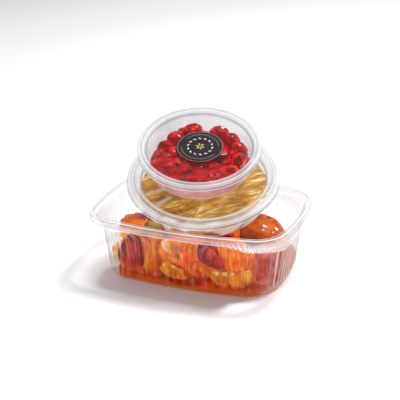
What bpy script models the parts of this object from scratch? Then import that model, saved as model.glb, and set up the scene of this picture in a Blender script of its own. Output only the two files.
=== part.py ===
"""Candied fruit in a clear ribbed tray, with a shut tub of peel and a shut tub of cherries leaning on the heap.

Frame: metres, +X along the tray's long side, +Z up, origin under the middle of the tray.
"""

import math
import random
from collections import namedtuple

import bmesh
import bpy
from mathutils import Euler, Matrix, Vector, noise

MM = 0.001
GAP = 0.3 * MM                     # clearance between neighbouring pieces

# Tray: half sizes of the rim without its bowed sides, and of the base
TRAY_HEIGHT = 50.6 * MM
RIM_HALF_LENGTH, RIM_HALF_DEPTH, RIM_CORNER = 74.9 * MM, 49.8 * MM, 15.0 * MM
BASE_HALF_LENGTH, BASE_HALF_DEPTH, BASE_CORNER = 66.5 * MM, 40.8 * MM, 14.0 * MM
BOW_LENGTH, BOW_DEPTH = 6.2 * MM, 8.2 * MM      # how far the rim's sides bow out at their middles
BASE_BOW = 0.5                                  # share of that bow left at the base
WALL = 0.6 * MM
FLANGE, SKIRT = 4.3 * MM, 5.4 * MM
SKIRT_LEAN = 0.4 * MM                           # how far the skirt's foot stands out past its top
WALL_TOP, WALL_TOP_CORNER = 38.0 * MM, 25.0 * MM
WALL_FOOT, FOOT_CORNER, FOOT_CHAMFER = 4.0 * MM, 16.0 * MM, 2.5 * MM
NECK_TOP = 45.5 * MM
FOOT_SHARE, WALL_TOP_SHARE, NECK_SHARE = 0.1, 0.85, 0.96     # how far each level has widened to the rim
FLUTE_DEPTH = 0.45 * MM
FLUTES_LONG, FLUTES_CORNER, FLUTES_SHORT = 5, 3, 3     # in each quarter of the outline

# Syrup that the fruit lies in
SYRUP_FLOOR, SYRUP_LEVEL, SYRUP_CORNER = WALL + GAP, 9.0 * MM, 18.0 * MM
FRUIT_FLOOR = 3.0 * MM

# Round tubs: lid radius, recess radius, tub foot radius, tub mouth radius, height to the lid's top
Tub = namedtuple("Tub", "lid recess foot mouth height")
PEEL_TUB = Tub(58.5 * MM, 47.2 * MM, 48.0 * MM, 52.5 * MM, 21.6 * MM)
CHERRY_TUB = Tub(47.5 * MM, 40.0 * MM, 38.6 * MM, 42.8 * MM, 21.3 * MM)
RECESS_DEPTH, RECESS_SLOPE = 3.2 * MM, 1.2 * MM
LID_SKIRT, LID_EDGE = 5.0 * MM, 1.5 * MM
TUB_WALL, TUB_FOOT_BEVEL = 0.6 * MM, 1.3 * MM
TUB_EDGE_PLAY = 1.6 * MM           # between the tub's flange and the lid's skirt
TURN_STEPS = 30
LABEL_RADIUS, LABEL_THICKNESS = 17.3 * MM, 0.3 * MM

# The lower tub leans on the fruit, and the upper one stands in its lid's recess and on its raised ring
PEEL_TUB_FOOT = Vector((-0.3, 7.2, 53.9)) * MM
PEEL_TUB_LEAN, PEEL_TUB_LEAN_TOWARDS = math.radians(18.3), math.radians(-70.6)
CHERRY_TUB_OFFSET, CHERRY_TUB_DIRECTION = 12.2 * MM, math.radians(123.7)

# Fruit: middle and half sizes in millimetres, turn in degrees
Fruit = namedtuple("Fruit", "name shape middle half turn colour")
ORANGE, AMBER, GOLD = (0.85, 0.25, 0.03), (0.75, 0.32, 0.04), (0.80, 0.45, 0.06)
PLUM, FIG, GREEN, RED = (0.28, 0.05, 0.08), (0.20, 0.03, 0.05), (0.25, 0.28, 0.08), (0.75, 0.08, 0.03)
FRUITS = (
    Fruit("mandarin_front", "mandarin", (47.3, 3.0, 28.0), (19.8, 19.8, 19.0), (0, 16, 0), AMBER),
    Fruit("pumpkin_chunk", "chunk", (-40.0, -34.5, 37.0), (11.0, 11.5, 12.0), (4, -4, 14), ORANGE),
    Fruit("fig_front", "fig", (-43.5, -35.5, 17.5), (11.5, 12.0, 11.5), (12, -10, 20), FIG),
    Fruit("apricot_corner", "ball", (-58.0, -30.0, 13.0), (8.5, 11.0, 9.0), (0, 20, 0), GOLD),
    Fruit("green_fig", "fig", (-20.5, -40.5, 41.0), (9.5, 7.5, 8.0), (0, 35, 0), GREEN),
    Fruit("prune_top", "ball", (-28.0, -29.0, 41.0), (9.0, 8.0, 8.5), (0, 0, 20), PLUM),
    Fruit("peach_half", "half", (-3.0, -33.5, 26.0), (18.5, 16.0, 16.0), (-78, 0, 8), ORANGE),
    Fruit("pear_slice", "ball", (-25.0, -38.0, 20.0), (9.5, 9.5, 14.5), (0, 4, 0), AMBER),
    Fruit("citrus_slices", "slice", (-7.0, -35.0, 8.8), (17.0, 12.5, 4.6), (14, 4, 172), AMBER),
    Fruit("kumquat", "ball", (13.0, -43.0, 17.5), (6.0, 6.5, 7.5), (0, 0, 0), RED),
    Fruit("plum_wedge", "wedge", (21.0, -37.5, 33.0), (15.0, 13.0, 14.0), (0, 14, 12), PLUM),
    Fruit("apricot_front", "ball", (38.0, -34.5, 29.0), (12.0, 13.5, 17.0), (0, 6, 0), ORANGE),
    Fruit("citrus_half_slice", "slice", (37.5, -33.0, 10.5), (20.0, 14.0, 5.2), (20, 0, 176), GOLD),
    Fruit("mauve_plum", "ball", (60.0, -27.5, 22.0), (10.0, 13.0, 15.0), (10, -6, 0), PLUM),
    Fruit("apricot_side", "ball", (64.5, -6.0, 16.0), (9.0, 15.0, 13.5), (0, 0, 0), AMBER),
    Fruit("mandarin_left", "mandarin", (-44.0, 2.0, 20.5), (20.0, 20.0, 18.0), (0, -16, 0), ORANGE),
    Fruit("mandarin_back", "mandarin", (-22.0, 33.0, 21.0), (18.5, 18.5, 18.5), (-30, 0, 0), AMBER),
    Fruit("plum_back", "ball", (-53.0, 31.0, 14.5), (14.5, 13.0, 12.0), (0, 0, 30), PLUM),
    Fruit("pear_back", "fig", (15.0, 32.5, 19.5), (18.5, 17.5, 17.0), (30, 0, 0), GOLD),
    Fruit("apricot_back", "ball", (44.5, 33.5, 12.5), (14.5, 13.5, 10.5), (0, 0, -20), ORANGE),
    Fruit("peach_under", "ball", (-12.0, -3.0, 23.5), (16.0, 17.0, 19.0), (0, 0, 0), AMBER),
    Fruit("plum_under", "ball", (20.0, -3.0, 22.0), (15.5, 17.0, 18.0), (0, 0, 0), PLUM),
    Fruit("apricot_top_left", "ball", (-26.0, 19.0, 46.5), (14.0, 14.0, 13.0), (0, 0, 0), ORANGE),
    Fruit("mandarin_top_back", "mandarin", (-2.0, 37.5, 50.0), (16.0, 16.0, 15.0), (17, 0, 0), AMBER),
    Fruit("fig_top_right", "fig", (22.0, 18.0, 46.0), (14.5, 14.0, 13.0), (17, 6, 0), FIG),
)
FRUIT_STEPS, FRUIT_RINGS = 10, 7
UNEVENNESS, CHUNK_UNEVENNESS = 0.05, 0.1     # of a fruit's half size
CHUNK_ROUNDNESS, CHUNK_CORNERS = 0.45, 1.25  # how far a cube is drawn to a ball, and that ball's radius
FIG_TAPER, FIG_DRAW = 0.45, 1.12             # how much a fig's neck narrows, and how far it is drawn up
MANDARIN_FLATNESS, STEM_DIMPLE = 0.92, 0.82  # heights against a ball's, all over and at the two stem ends
HALF_CUT_DEPTH = 0.12                        # depth of a half fruit's cut face against its round back
WEDGE_DEPTH, WEDGE_SLOPE = 0.75, 0.75        # where a wedge's two cuts meet, and their slope
SLICE_BEVEL = 1.0 * MM

# What the two tubs hold: each heap has a flat core, half width and half height, under its pieces
CHERRY_CORE = (33.0 * MM, 6.0 * MM)
CHERRY_RADIUS, CHERRY_MIDDLE = 7.9 * MM, 9.0 * MM
CHERRY_RINGS = ((29.0 * MM, 11), (14.5 * MM, 5))      # ring radius and number of cherries
PEEL_CORE = (47.5 * MM, 7.5 * MM)
PEEL_STRIPS, PEEL_PITCH = 8, 10.0 * MM
PEEL_LENGTH, PEEL_WIDTH, PEEL_THICKNESS = 70.0 * MM, 17.0 * MM, 3.4 * MM
PEEL_SIDE_BEND, PEEL_SAG = 22.0 * MM, 12.0 * MM       # how far a strip's ends lie aside and below its middle
PEEL_LOWEST, PEEL_HIGHEST = 14.2 * MM, 16.0 * MM

for stale in list(bpy.data.objects):
    bpy.data.objects.remove(stale, do_unlink=True)
PART = bpy.data.collections.new("candied_fruit")
CUTTERS = bpy.data.collections.new("cutters")
bpy.context.scene.collection.children.link(PART)
bpy.context.scene.collection.children.link(CUTTERS)


def material(name, colour, roughness=0.3, alpha=1.0):
    """A plain Principled finish, see-through where alpha is below one."""
    made = bpy.data.materials.new(name)
    made.use_nodes = True
    shader = made.node_tree.nodes["Principled BSDF"]
    shader.inputs["Base Color"].default_value = (*colour, 1.0)
    shader.inputs["Roughness"].default_value = roughness
    shader.inputs["Metallic"].default_value = 0.0
    shader.inputs["Alpha"].default_value = alpha
    return made


def add(name, bm, finish=None, collection=PART):
    """Turns a bmesh into an object of the part, or of the cutters."""
    mesh = bpy.data.meshes.new(name)
    bm.to_mesh(mesh)
    bm.free()
    made = bpy.data.objects.new(name, mesh)
    collection.objects.link(made)
    if finish:
        mesh.materials.append(finish)
        mesh.shade_smooth()
    if collection is CUTTERS:
        made.hide_render = True
        made.display_type = "WIRE"
    return made


def boolean(target, operation, cutter):
    """Adds a live Boolean to a piece."""
    cut = target.modifiers.new(f"{operation.lower()} {cutter.name}", "BOOLEAN")
    cut.operation = operation
    cut.solver = "EXACT"
    cut.object = cutter
    return cut


# The tray

def plan(half_length, half_depth, corner, bow, height, flute=0.0):
    """One level of the tray: a rounded rectangle with bowed sides, its points pushed in by turns as flutes."""
    steps_short, steps_corner, steps_long = 2 * FLUTES_SHORT, 2 * FLUTES_CORNER, 2 * FLUTES_LONG
    quarter = [(half_length, (half_depth - corner) * i / steps_short) for i in range(steps_short)]
    for i in range(steps_corner):
        angle = math.pi / 2 * i / steps_corner
        quarter.append((half_length - corner + corner * math.cos(angle),
                        half_depth - corner + corner * math.sin(angle)))
    quarter += [((half_length - corner) * (1 - i / steps_long), half_depth) for i in range(steps_long + 1)]
    back = quarter[-2::-1]
    outline = quarter + [(-x, y) for x, y in back] + [(-x, -y) for x, y in quarter[1:]]
    outline += [(x, -y) for x, y in back[:-1]]
    bowed = []
    for x, y in outline:
        side = math.copysign(bow * BOW_LENGTH, x) * (1 - (y / half_depth) ** 2) * abs(x / half_length) ** 3
        front = math.copysign(bow * BOW_DEPTH, y) * (1 - (x / half_length) ** 2) * abs(y / half_depth) ** 3
        bowed.append(Vector((x + side, y + front, height)))
    if not flute:
        return bowed
    fluted = []
    for i, point in enumerate(bowed):
        along = bowed[(i + 1) % len(bowed)] - bowed[i - 1]
        outwards = Vector((along.y, -along.x, 0)).normalized()
        fluted.append(point - outwards * flute * (i % 2))
    return fluted


def loft(rings):
    """A closed solid through level outlines of equal point count, flat at both ends."""
    bm = bmesh.new()
    rows = [[bm.verts.new(point) for point in ring] for ring in rings]
    count = len(rows[0])
    for lower, upper in zip(rows, rows[1:]):
        for i in range(count):
            j = (i + 1) % count
            bm.faces.new((lower[i], lower[j], upper[j], upper[i]))
    bm.faces.new(rows[0][::-1])
    bm.faces.new(rows[-1])
    bmesh.ops.recalc_face_normals(bm, faces=bm.faces)
    bmesh.ops.triangulate(bm, faces=bm.faces)
    return bm


def wall_level(inset, share, corner, height, flute=0.0):
    """A level of the tapering wall, share 0 at the base and 1 at the rim's inner edge."""
    top_length, top_depth = RIM_HALF_LENGTH - FLANGE, RIM_HALF_DEPTH - FLANGE
    half_length = BASE_HALF_LENGTH + (top_length - BASE_HALF_LENGTH) * share - inset
    half_depth = BASE_HALF_DEPTH + (top_depth - BASE_HALF_DEPTH) * share - inset
    bow = BASE_BOW + (1 - BASE_BOW) * share
    return plan(half_length, half_depth, corner - inset, bow, height, flute)


def rim_level(inset, height):
    return plan(RIM_HALF_LENGTH - inset, RIM_HALF_DEPTH - inset, RIM_CORNER - inset, 1.0, height)


def make_tray():
    """Vacuum-formed shell: fluted walls, corner webs, a flat flange and its turned-down skirt."""
    neck_corner = RIM_CORNER - FLANGE
    skirt_foot = TRAY_HEIGHT - SKIRT
    rings = [
        wall_level(FOOT_CHAMFER, 0.0, BASE_CORNER, 0.0),
        wall_level(0.0, FOOT_SHARE, FOOT_CORNER, WALL_FOOT, FLUTE_DEPTH),
        wall_level(0.0, WALL_TOP_SHARE, WALL_TOP_CORNER, WALL_TOP, FLUTE_DEPTH),
        wall_level(0.0, NECK_SHARE, neck_corner + WALL, NECK_TOP),
        wall_level(0.0, 1.0, neck_corner + WALL, TRAY_HEIGHT - WALL),
        rim_level(WALL + SKIRT_LEAN, TRAY_HEIGHT - WALL),
        rim_level(WALL, skirt_foot),
        rim_level(0.0, skirt_foot),
        rim_level(SKIRT_LEAN, TRAY_HEIGHT),
        wall_level(WALL, 1.0, neck_corner + WALL, TRAY_HEIGHT),
        wall_level(WALL, NECK_SHARE, neck_corner + WALL, NECK_TOP),
        wall_level(WALL, WALL_TOP_SHARE, WALL_TOP_CORNER, WALL_TOP, FLUTE_DEPTH),
        wall_level(WALL, FOOT_SHARE, FOOT_CORNER, WALL_FOOT, FLUTE_DEPTH),
        wall_level(FOOT_CHAMFER + WALL, 0.0, BASE_CORNER, WALL),
    ]
    return add("tray", loft(rings), material("clear tray plastic", (0.9, 0.93, 0.95), 0.1, 0.25))


def inside_of_tray(floor, ceiling):
    """The space that the contents may fill between two heights, a gap clear of the walls."""
    inset = WALL + FLUTE_DEPTH + GAP
    foot_inset = inset + FOOT_CHAMFER * (1 - floor / WALL_FOOT)
    rings = [wall_level(foot_inset, FOOT_SHARE * floor / WALL_FOOT, BASE_CORNER + FOOT_CHAMFER, floor),
             wall_level(inset, FOOT_SHARE, FOOT_CORNER, WALL_FOOT)]
    if ceiling > WALL_TOP:
        rings += [wall_level(inset, WALL_TOP_SHARE, WALL_TOP_CORNER, WALL_TOP),
                  wall_level(inset, 1.0, WALL_TOP_CORNER, TRAY_HEIGHT),
                  wall_level(inset, 1.0, WALL_TOP_CORNER, ceiling)]
    else:
        climbed = (ceiling - WALL_FOOT) / (WALL_TOP - WALL_FOOT)
        share = FOOT_SHARE + (WALL_TOP_SHARE - FOOT_SHARE) * climbed
        rings.append(wall_level(inset, share, SYRUP_CORNER, ceiling))
    return loft(rings)


# The two tubs

def turned(name, profile, finish=None, collection=PART, steps=TURN_STEPS):
    """A solid turned about Z from a profile that runs from the axis, down the outer side, back to the axis."""
    mesh = bpy.data.meshes.new(name)
    points = [(radius, 0.0, height) for radius, height in profile]
    mesh.from_pydata(points, [(i, i + 1) for i in range(len(points) - 1)], [])
    made = bpy.data.objects.new(name, mesh)
    collection.objects.link(made)
    spin = made.modifiers.new("turn", "SCREW")
    spin.steps = spin.render_steps = steps
    spin.use_merge_vertices = True
    spin.merge_threshold = 0.00001
    if finish:
        mesh.materials.append(finish)
    if collection is CUTTERS:
        made.hide_render = True
        made.display_type = "WIRE"
    return made


def lid_profile(tub):
    """Sunk panel, raised ring round it, and a skirt that snaps over the tub's edge."""
    top, wall = tub.height, TUB_WALL
    panel, skirt_foot = top - RECESS_DEPTH, top - LID_SKIRT
    ring_in, ring_out = tub.recess + RECESS_SLOPE, tub.lid - LID_EDGE
    return (
        (0.0, panel), (tub.recess, panel), (ring_in, top), (ring_out, top),
        (tub.lid, top - LID_EDGE), (tub.lid, skirt_foot),
        (tub.lid - wall, skirt_foot), (tub.lid - wall, top - LID_EDGE - wall / 2),
        (ring_out - wall / 2, top - wall), (ring_in + wall / 2, top - wall),
        (tub.recess + wall, panel - wall), (0.0, panel - wall),
    )


def tub_profile(tub):
    """Tapered cup with a flange that sits under the lid's ring, listed from the inside down and round."""
    wall, bevel = TUB_WALL, TUB_FOOT_BEVEL
    edge_top = tub.height - wall - GAP
    edge_out = tub.lid - wall - TUB_EDGE_PLAY
    return (
        (0.0, wall), (tub.foot - bevel - wall / 2, wall), (tub.foot - wall, bevel + wall / 2),
        (tub.mouth - wall, edge_top), (edge_out, edge_top), (edge_out, edge_top - wall),
        (tub.mouth, edge_top - wall), (tub.foot, bevel), (tub.foot - bevel, 0.0), (0.0, 0.0),
    )


def hold_profile(tub):
    """The space inside a shut tub, a gap clear of cup and lid, with its corners taken off."""
    ceiling = tub.height - RECESS_DEPTH - TUB_WALL - GAP
    floor = TUB_WALL + GAP
    corner = 1.5 * MM
    foot, mouth = tub.foot - TUB_WALL - GAP - corner / 2, tub.mouth - TUB_WALL - GAP - corner
    return ((0.0, ceiling), (tub.recess - GAP, ceiling), (mouth, ceiling - corner),
            (foot, floor + corner), (foot - corner / 2, floor), (0.0, floor))


def envelope_profile(tub):
    """The tub's outside grown by the gap, which the fruit is cut back to."""
    rim_foot = tub.height - LID_SKIRT - 2 * GAP
    foot = tub.foot + 2 * GAP
    return ((0.0, tub.height + GAP), (tub.lid + GAP, tub.height + GAP), (tub.lid + GAP, rim_foot),
            (tub.mouth + GAP, rim_foot), (foot, TUB_FOOT_BEVEL), (foot - TUB_FOOT_BEVEL, -GAP), (0.0, -GAP))


def leaning(angle, towards):
    """A turn that tips +Z by an angle towards a direction in plan."""
    return Matrix.Rotation(angle, 4, Vector((-math.sin(towards), math.cos(towards), 0.0)))


def empty(name, matrix, parent=None):
    made = bpy.data.objects.new(name, None)
    PART.objects.link(made)
    made.parent = parent
    made.matrix_local = matrix
    return made


def keep_outer_shell(mesh):
    """Fills the hollows that fusing seals and drops loose scraps, by keeping the widest shell alone."""
    bm = bmesh.new()
    bm.from_mesh(mesh)
    left, shells = set(bm.verts), []
    while left:
        shell, front = set(), [left.pop()]
        while front:
            vert = front.pop()
            shell.add(vert)
            near = [edge.other_vert(vert) for edge in vert.link_edges]
            front += [other for other in near if other in left]
            left.difference_update(near)
        shells.append(shell)
    widest = max(shells, key=lambda shell: max(v.co.x for v in shell) - min(v.co.x for v in shell))
    bmesh.ops.delete(bm, geom=[v for v in bm.verts if v not in widest], context="VERTS")
    bm.to_mesh(mesh)
    bm.free()


def fuse(name, pieces, finish, limit=None):
    """Joins overlapping solids into one body, cut back to a limit where one is given."""
    heap = bpy.data.collections.new(f"{name} pieces")
    bpy.context.scene.collection.children.link(heap)
    for piece in pieces[1:]:
        for old in piece.users_collection:
            old.objects.unlink(piece)
        heap.objects.link(piece)
    first = pieces[0]
    union = first.modifiers.new("fuse", "BOOLEAN")
    union.operation = "UNION"
    union.operand_type = "COLLECTION"
    union.collection = heap
    union.solver = "EXACT"
    if limit:
        boolean(first, "INTERSECT", limit)
    bpy.context.view_layer.update()
    mesh = bpy.data.meshes.new_from_object(first.evaluated_get(bpy.context.evaluated_depsgraph_get()))
    mesh.name = name
    keep_outer_shell(mesh)
    mesh.materials.clear()
    mesh.materials.append(finish)
    for piece in pieces:
        bpy.data.objects.remove(piece, do_unlink=True)
    bpy.data.collections.remove(heap)
    made = bpy.data.objects.new(name, mesh)
    PART.objects.link(made)
    return made


def ball_mesh(half, steps, rings, seed=0, unevenness=0.0):
    """A sphere primitive drawn out to three half sizes, with a gently uneven skin."""
    bm = bmesh.new()
    bmesh.ops.create_uvsphere(bm, u_segments=steps, v_segments=rings, radius=1.0)
    for vert in bm.verts:
        bump = 1 + unevenness * noise.noise(vert.co * 1.6 + Vector((seed * 7.3, seed * 1.9, 0.0)))
        vert.co = Vector([c * h * bump for c, h in zip(vert.co, half)])
    return bm


def core_piece(name, size, steps):
    """The flat middle of a heap, standing on its tub's floor."""
    half_width, half_height = size
    core = ball_mesh((half_width, half_width, half_height), steps, 4)
    bmesh.ops.translate(core, verts=core.verts, vec=Vector((0, 0, TUB_WALL + GAP + half_height)))
    return add(name, core)


def cherry_pieces():
    """A flat core with rings of whole cherries sunk into it."""
    draw = random.Random(11)
    pieces = [core_piece("cherry core", CHERRY_CORE, 12)]
    spots = []
    for radius, count in CHERRY_RINGS:
        spots += [(radius, 2 * math.pi * (i + draw.uniform(-0.12, 0.12)) / count) for i in range(count)]
    for i, (radius, angle) in enumerate(spots):
        size = CHERRY_RADIUS * draw.uniform(0.92, 1.06)
        cherry = ball_mesh((size, size, size * 0.94), 8, 4, i, 0.08)
        bmesh.ops.rotate(cherry, verts=cherry.verts, matrix=Matrix.Rotation(draw.uniform(0, 3), 3, "Z"))
        place = Vector((radius * math.cos(angle), radius * math.sin(angle), TUB_WALL + GAP + CHERRY_MIDDLE))
        bmesh.ops.translate(cherry, verts=cherry.verts, vec=place)
        pieces.append(add(f"cherry {i}", cherry))
    return pieces


def peel_pieces():
    """Long bowed strips of peel, pointed at both ends, laid across each other on a flat core."""
    draw = random.Random(5)
    pieces = [core_piece("peel core", PEEL_CORE, 16)]
    for i in range(PEEL_STRIPS):
        strip = bmesh.new()
        bmesh.ops.create_cube(strip, size=1.0)
        long_edges = [e for e in strip.edges if abs((e.verts[0].co - e.verts[1].co).x) > 0.5]
        bmesh.ops.subdivide_edges(strip, edges=long_edges, cuts=3, use_grid_fill=True)
        for vert in strip.verts:
            x, y, z = vert.co
            taper = 1 - 1.6 * x * x
            vert.co = Vector((x * PEEL_LENGTH, y * PEEL_WIDTH * taper + PEEL_SIDE_BEND * x * x,
                              z * PEEL_THICKNESS - PEEL_SAG * x * x))
        turn = Euler((draw.uniform(-0.3, 0.3), draw.uniform(-0.06, 0.06), draw.uniform(-0.5, 0.7)), "XYZ")
        bmesh.ops.rotate(strip, verts=strip.verts, matrix=turn.to_matrix())
        along = draw.uniform(-0.1, 0.1) * PEEL_LENGTH
        across = (i - (PEEL_STRIPS - 1) / 2) * PEEL_PITCH
        height = TUB_WALL + GAP + draw.uniform(PEEL_LOWEST, PEEL_HIGHEST)
        bmesh.ops.translate(strip, verts=strip.verts, vec=Vector((along, across, height)))
        pieces.append(add(f"peel strip {i}", strip))
    return pieces


def make_tub(kind, tub, stand, pieces, content_finish):
    """Cup, lid and contents of one tub, all on the tub's own stand."""
    clear = material(f"clear {kind} tub plastic", (0.92, 0.93, 0.95), 0.1, 0.25)
    cup = turned(f"{kind}_tub", tub_profile(tub), clear)
    lid = turned(f"{kind}_lid", lid_profile(tub), clear)
    hold = turned(f"inside of {kind} tub", hold_profile(tub), None, CUTTERS)
    heap = fuse(f"{kind}_heap", pieces, content_finish, hold)
    for piece in (cup, lid, hold, heap):
        piece.parent = stand


def make_stack():
    """The tub of peel leaning on the fruit, and the tub of cherries standing on its lid."""
    lean = leaning(PEEL_TUB_LEAN, PEEL_TUB_LEAN_TOWARDS)
    lower = empty("peel tub stand", Matrix.Translation(PEEL_TUB_FOOT) @ lean)
    make_tub("peel", PEEL_TUB, lower, peel_pieces(), material("candied peel", (0.62, 0.38, 0.07)))

    # The upper foot's near edge stands on the sunk panel and its far side on the raised ring.
    contact = PEEL_TUB.recess + RECESS_SLOPE
    near_edge = CHERRY_TUB.foot - CHERRY_TUB_OFFSET
    tip = math.atan2(RECESS_DEPTH, contact + near_edge)
    towards = CHERRY_TUB_DIRECTION + math.pi
    rise = PEEL_TUB.height - RECESS_DEPTH + GAP + CHERRY_TUB.foot * math.sin(tip)
    spot = Vector((CHERRY_TUB_OFFSET * math.cos(CHERRY_TUB_DIRECTION),
                   CHERRY_TUB_OFFSET * math.sin(CHERRY_TUB_DIRECTION), rise))
    upper = empty("cherry tub stand", Matrix.Translation(spot) @ leaning(tip, towards), lower)
    make_tub("cherry", CHERRY_TUB, upper, cherry_pieces(), material("candied cherry", (0.6, 0.01, 0.02)))
    base = CHERRY_TUB.height - RECESS_DEPTH + GAP
    label = turned("label", ((0.0, base + LABEL_THICKNESS), (LABEL_RADIUS, base + LABEL_THICKNESS),
                             (LABEL_RADIUS, base), (0.0, base)), material("label", (0.03, 0.025, 0.03), 0.5))
    label.parent = upper
    envelope = turned("outside of peel tub", envelope_profile(PEEL_TUB), None, CUTTERS)
    envelope.parent = lower
    return envelope


# The fruit

def fruit_mesh(fruit, seed):
    """One fruit about its own middle, before it is turned and placed."""
    half = Vector(fruit.half) * MM
    if fruit.shape == "chunk":
        bm = bmesh.new()
        bmesh.ops.create_cube(bm, size=2.0)
        bmesh.ops.subdivide_edges(bm, edges=bm.edges, cuts=3, use_grid_fill=True)
        for vert in bm.verts:
            soft = vert.co.lerp(vert.co.normalized() * CHUNK_CORNERS, CHUNK_ROUNDNESS)
            soft *= 1 + CHUNK_UNEVENNESS * noise.noise(vert.co * 1.3 + Vector((seed, 0, 0)))
            vert.co = Vector([c * h for c, h in zip(soft, half)])
        return bm
    if fruit.shape == "slice":
        bm = bmesh.new()
        bmesh.ops.create_cone(bm, cap_ends=True, segments=16, radius1=1.0, radius2=1.0, depth=2.0)
        cut_away(bm, (0, 0.02, 0), (0, -1, 0))
        for vert in bm.verts:
            vert.co = Vector((vert.co.x * half.x, (vert.co.y * 2 - 1) * half.y, vert.co.z * half.z))
        bmesh.ops.bevel(bm, geom=bm.edges[:], offset=SLICE_BEVEL, segments=1, affect="EDGES")
        return bm
    bm = ball_mesh(half, FRUIT_STEPS, FRUIT_RINGS, seed, UNEVENNESS)
    if fruit.shape == "wedge":
        for side in (-1, 1):
            cut_away(bm, (0, 0, -WEDGE_DEPTH * half.z), (side * WEDGE_SLOPE, 0, -1))
    for vert in bm.verts:
        up = vert.co.z / half.z
        if fruit.shape == "fig" and up > 0:
            vert.co.x *= 1 - FIG_TAPER * up
            vert.co.y *= 1 - FIG_TAPER * up
            vert.co.z *= FIG_DRAW
        if fruit.shape == "mandarin":
            vert.co.z *= MANDARIN_FLATNESS if abs(up) < 0.9 else STEM_DIMPLE
        if fruit.shape == "half" and up < 0:
            vert.co.z *= HALF_CUT_DEPTH
    return bm


def cut_away(bm, point, normal):
    """Cuts a solid along a plane, drops the side that the normal points to and caps the cut."""
    bmesh.ops.bisect_plane(bm, geom=bm.verts[:] + bm.edges[:] + bm.faces[:], plane_co=point, plane_no=normal,
                           clear_outer=True)
    bmesh.ops.holes_fill(bm, edges=[edge for edge in bm.edges if edge.is_boundary])


def make_fruit(envelope):
    """Every fruit, cut back where it presses on its neighbours, the tray and the leaning tub."""
    room = add("room for fruit", inside_of_tray(FRUIT_FLOOR, 2 * TRAY_HEIGHT), None, CUTTERS)
    placed = []
    for seed, fruit in enumerate(FRUITS):
        middle = Vector(fruit.middle) * MM
        turn = Euler([math.radians(a) for a in fruit.turn], "XYZ").to_matrix().to_4x4()
        bm = fruit_mesh(fruit, seed)
        bmesh.ops.transform(bm, verts=bm.verts, matrix=Matrix.Translation(middle) @ turn)
        bmesh.ops.recalc_face_normals(bm, faces=bm.faces)
        bmesh.ops.triangulate(bm, faces=bm.faces)
        grown = bm.copy()
        grown.normal_update()
        for vert in grown.verts:
            vert.co += vert.normal * GAP
        piece = add(fruit.name, bm, material(fruit.name.replace("_", " "), fruit.colour, 0.25))
        reach = max(fruit.half) * MM * 1.25
        boolean(piece, "INTERSECT", room)
        boolean(piece, "DIFFERENCE", envelope)
        for other, other_middle, other_reach in placed:
            if (other_middle - middle).length < reach + other_reach:
                boolean(piece, "DIFFERENCE", other)
        placed.append((add(f"{fruit.name} grown", grown, None, CUTTERS), middle, reach))
    return [cutter for cutter, _, _ in placed]


def make_syrup(grown_fruit):
    """The pool that the fruit lies in, up to its level and cut round each fruit."""
    syrup = add("syrup", inside_of_tray(SYRUP_FLOOR, SYRUP_LEVEL), material("syrup", (0.55, 0.12, 0.01), 0.1))
    for cutter in grown_fruit:
        if min(vert.co.z for vert in cutter.data.vertices) < SYRUP_LEVEL:
            boolean(syrup, "DIFFERENCE", cutter)


make_tray()
make_syrup(make_fruit(make_stack()))
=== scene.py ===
import math
import random

import bmesh
import bpy
import numpy as np
from mathutils import Matrix, Vector, noise


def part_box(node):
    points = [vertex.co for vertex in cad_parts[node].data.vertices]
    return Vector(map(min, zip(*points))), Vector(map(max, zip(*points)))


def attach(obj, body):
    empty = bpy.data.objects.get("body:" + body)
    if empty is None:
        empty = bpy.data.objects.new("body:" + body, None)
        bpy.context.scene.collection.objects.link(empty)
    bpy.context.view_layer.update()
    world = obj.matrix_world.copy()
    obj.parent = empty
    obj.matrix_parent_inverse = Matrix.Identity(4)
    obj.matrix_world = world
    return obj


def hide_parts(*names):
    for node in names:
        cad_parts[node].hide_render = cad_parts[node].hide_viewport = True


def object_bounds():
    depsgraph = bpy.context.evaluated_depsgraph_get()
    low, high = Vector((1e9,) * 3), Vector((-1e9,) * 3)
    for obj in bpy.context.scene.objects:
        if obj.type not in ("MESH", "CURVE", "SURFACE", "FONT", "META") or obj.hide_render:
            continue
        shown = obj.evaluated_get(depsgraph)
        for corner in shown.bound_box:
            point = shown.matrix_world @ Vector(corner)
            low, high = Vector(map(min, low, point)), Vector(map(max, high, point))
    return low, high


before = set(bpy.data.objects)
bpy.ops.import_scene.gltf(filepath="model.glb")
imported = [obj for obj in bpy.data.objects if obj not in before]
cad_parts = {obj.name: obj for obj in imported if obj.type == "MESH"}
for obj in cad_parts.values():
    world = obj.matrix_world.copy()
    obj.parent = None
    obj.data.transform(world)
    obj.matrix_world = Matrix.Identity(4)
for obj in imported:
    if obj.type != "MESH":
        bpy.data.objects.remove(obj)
cad_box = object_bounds()

# The studio: a plain white table top, a soft light behind the right of the pack with a small one beside it,
# a wide one above and one in front. The camera looks down on the long front side, a little from the right.
MM = 0.001
EYE, LOOK_AT = Vector((253.5, -618.6, 338.1)) * MM, Vector((4.84, -14.52, 60.0)) * MM
CAMERA_ROLL = math.radians(-1.63)
LENS, SENSOR = 85.42, 36.0          # millimetres, for a square picture
TABLE_SIZE = 8.0                    # metres

camera_data = bpy.data.cameras.new("camera")
camera_data.lens = LENS
camera_data.sensor_width = SENSOR
camera = bpy.data.objects.new("camera", camera_data)
bpy.context.scene.collection.objects.link(camera)
facing = (LOOK_AT - EYE).to_track_quat("-Z", "Y").to_matrix().to_4x4()
camera.matrix_world = Matrix.Translation(EYE) @ facing @ Matrix.Rotation(CAMERA_ROLL, 4, "Z")
bpy.context.scene.camera = camera
bpy.context.scene.view_settings.view_transform = "Standard"
bpy.context.scene.cycles.transparent_max_bounces = 40    # many thin clear walls lie behind each other


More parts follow.
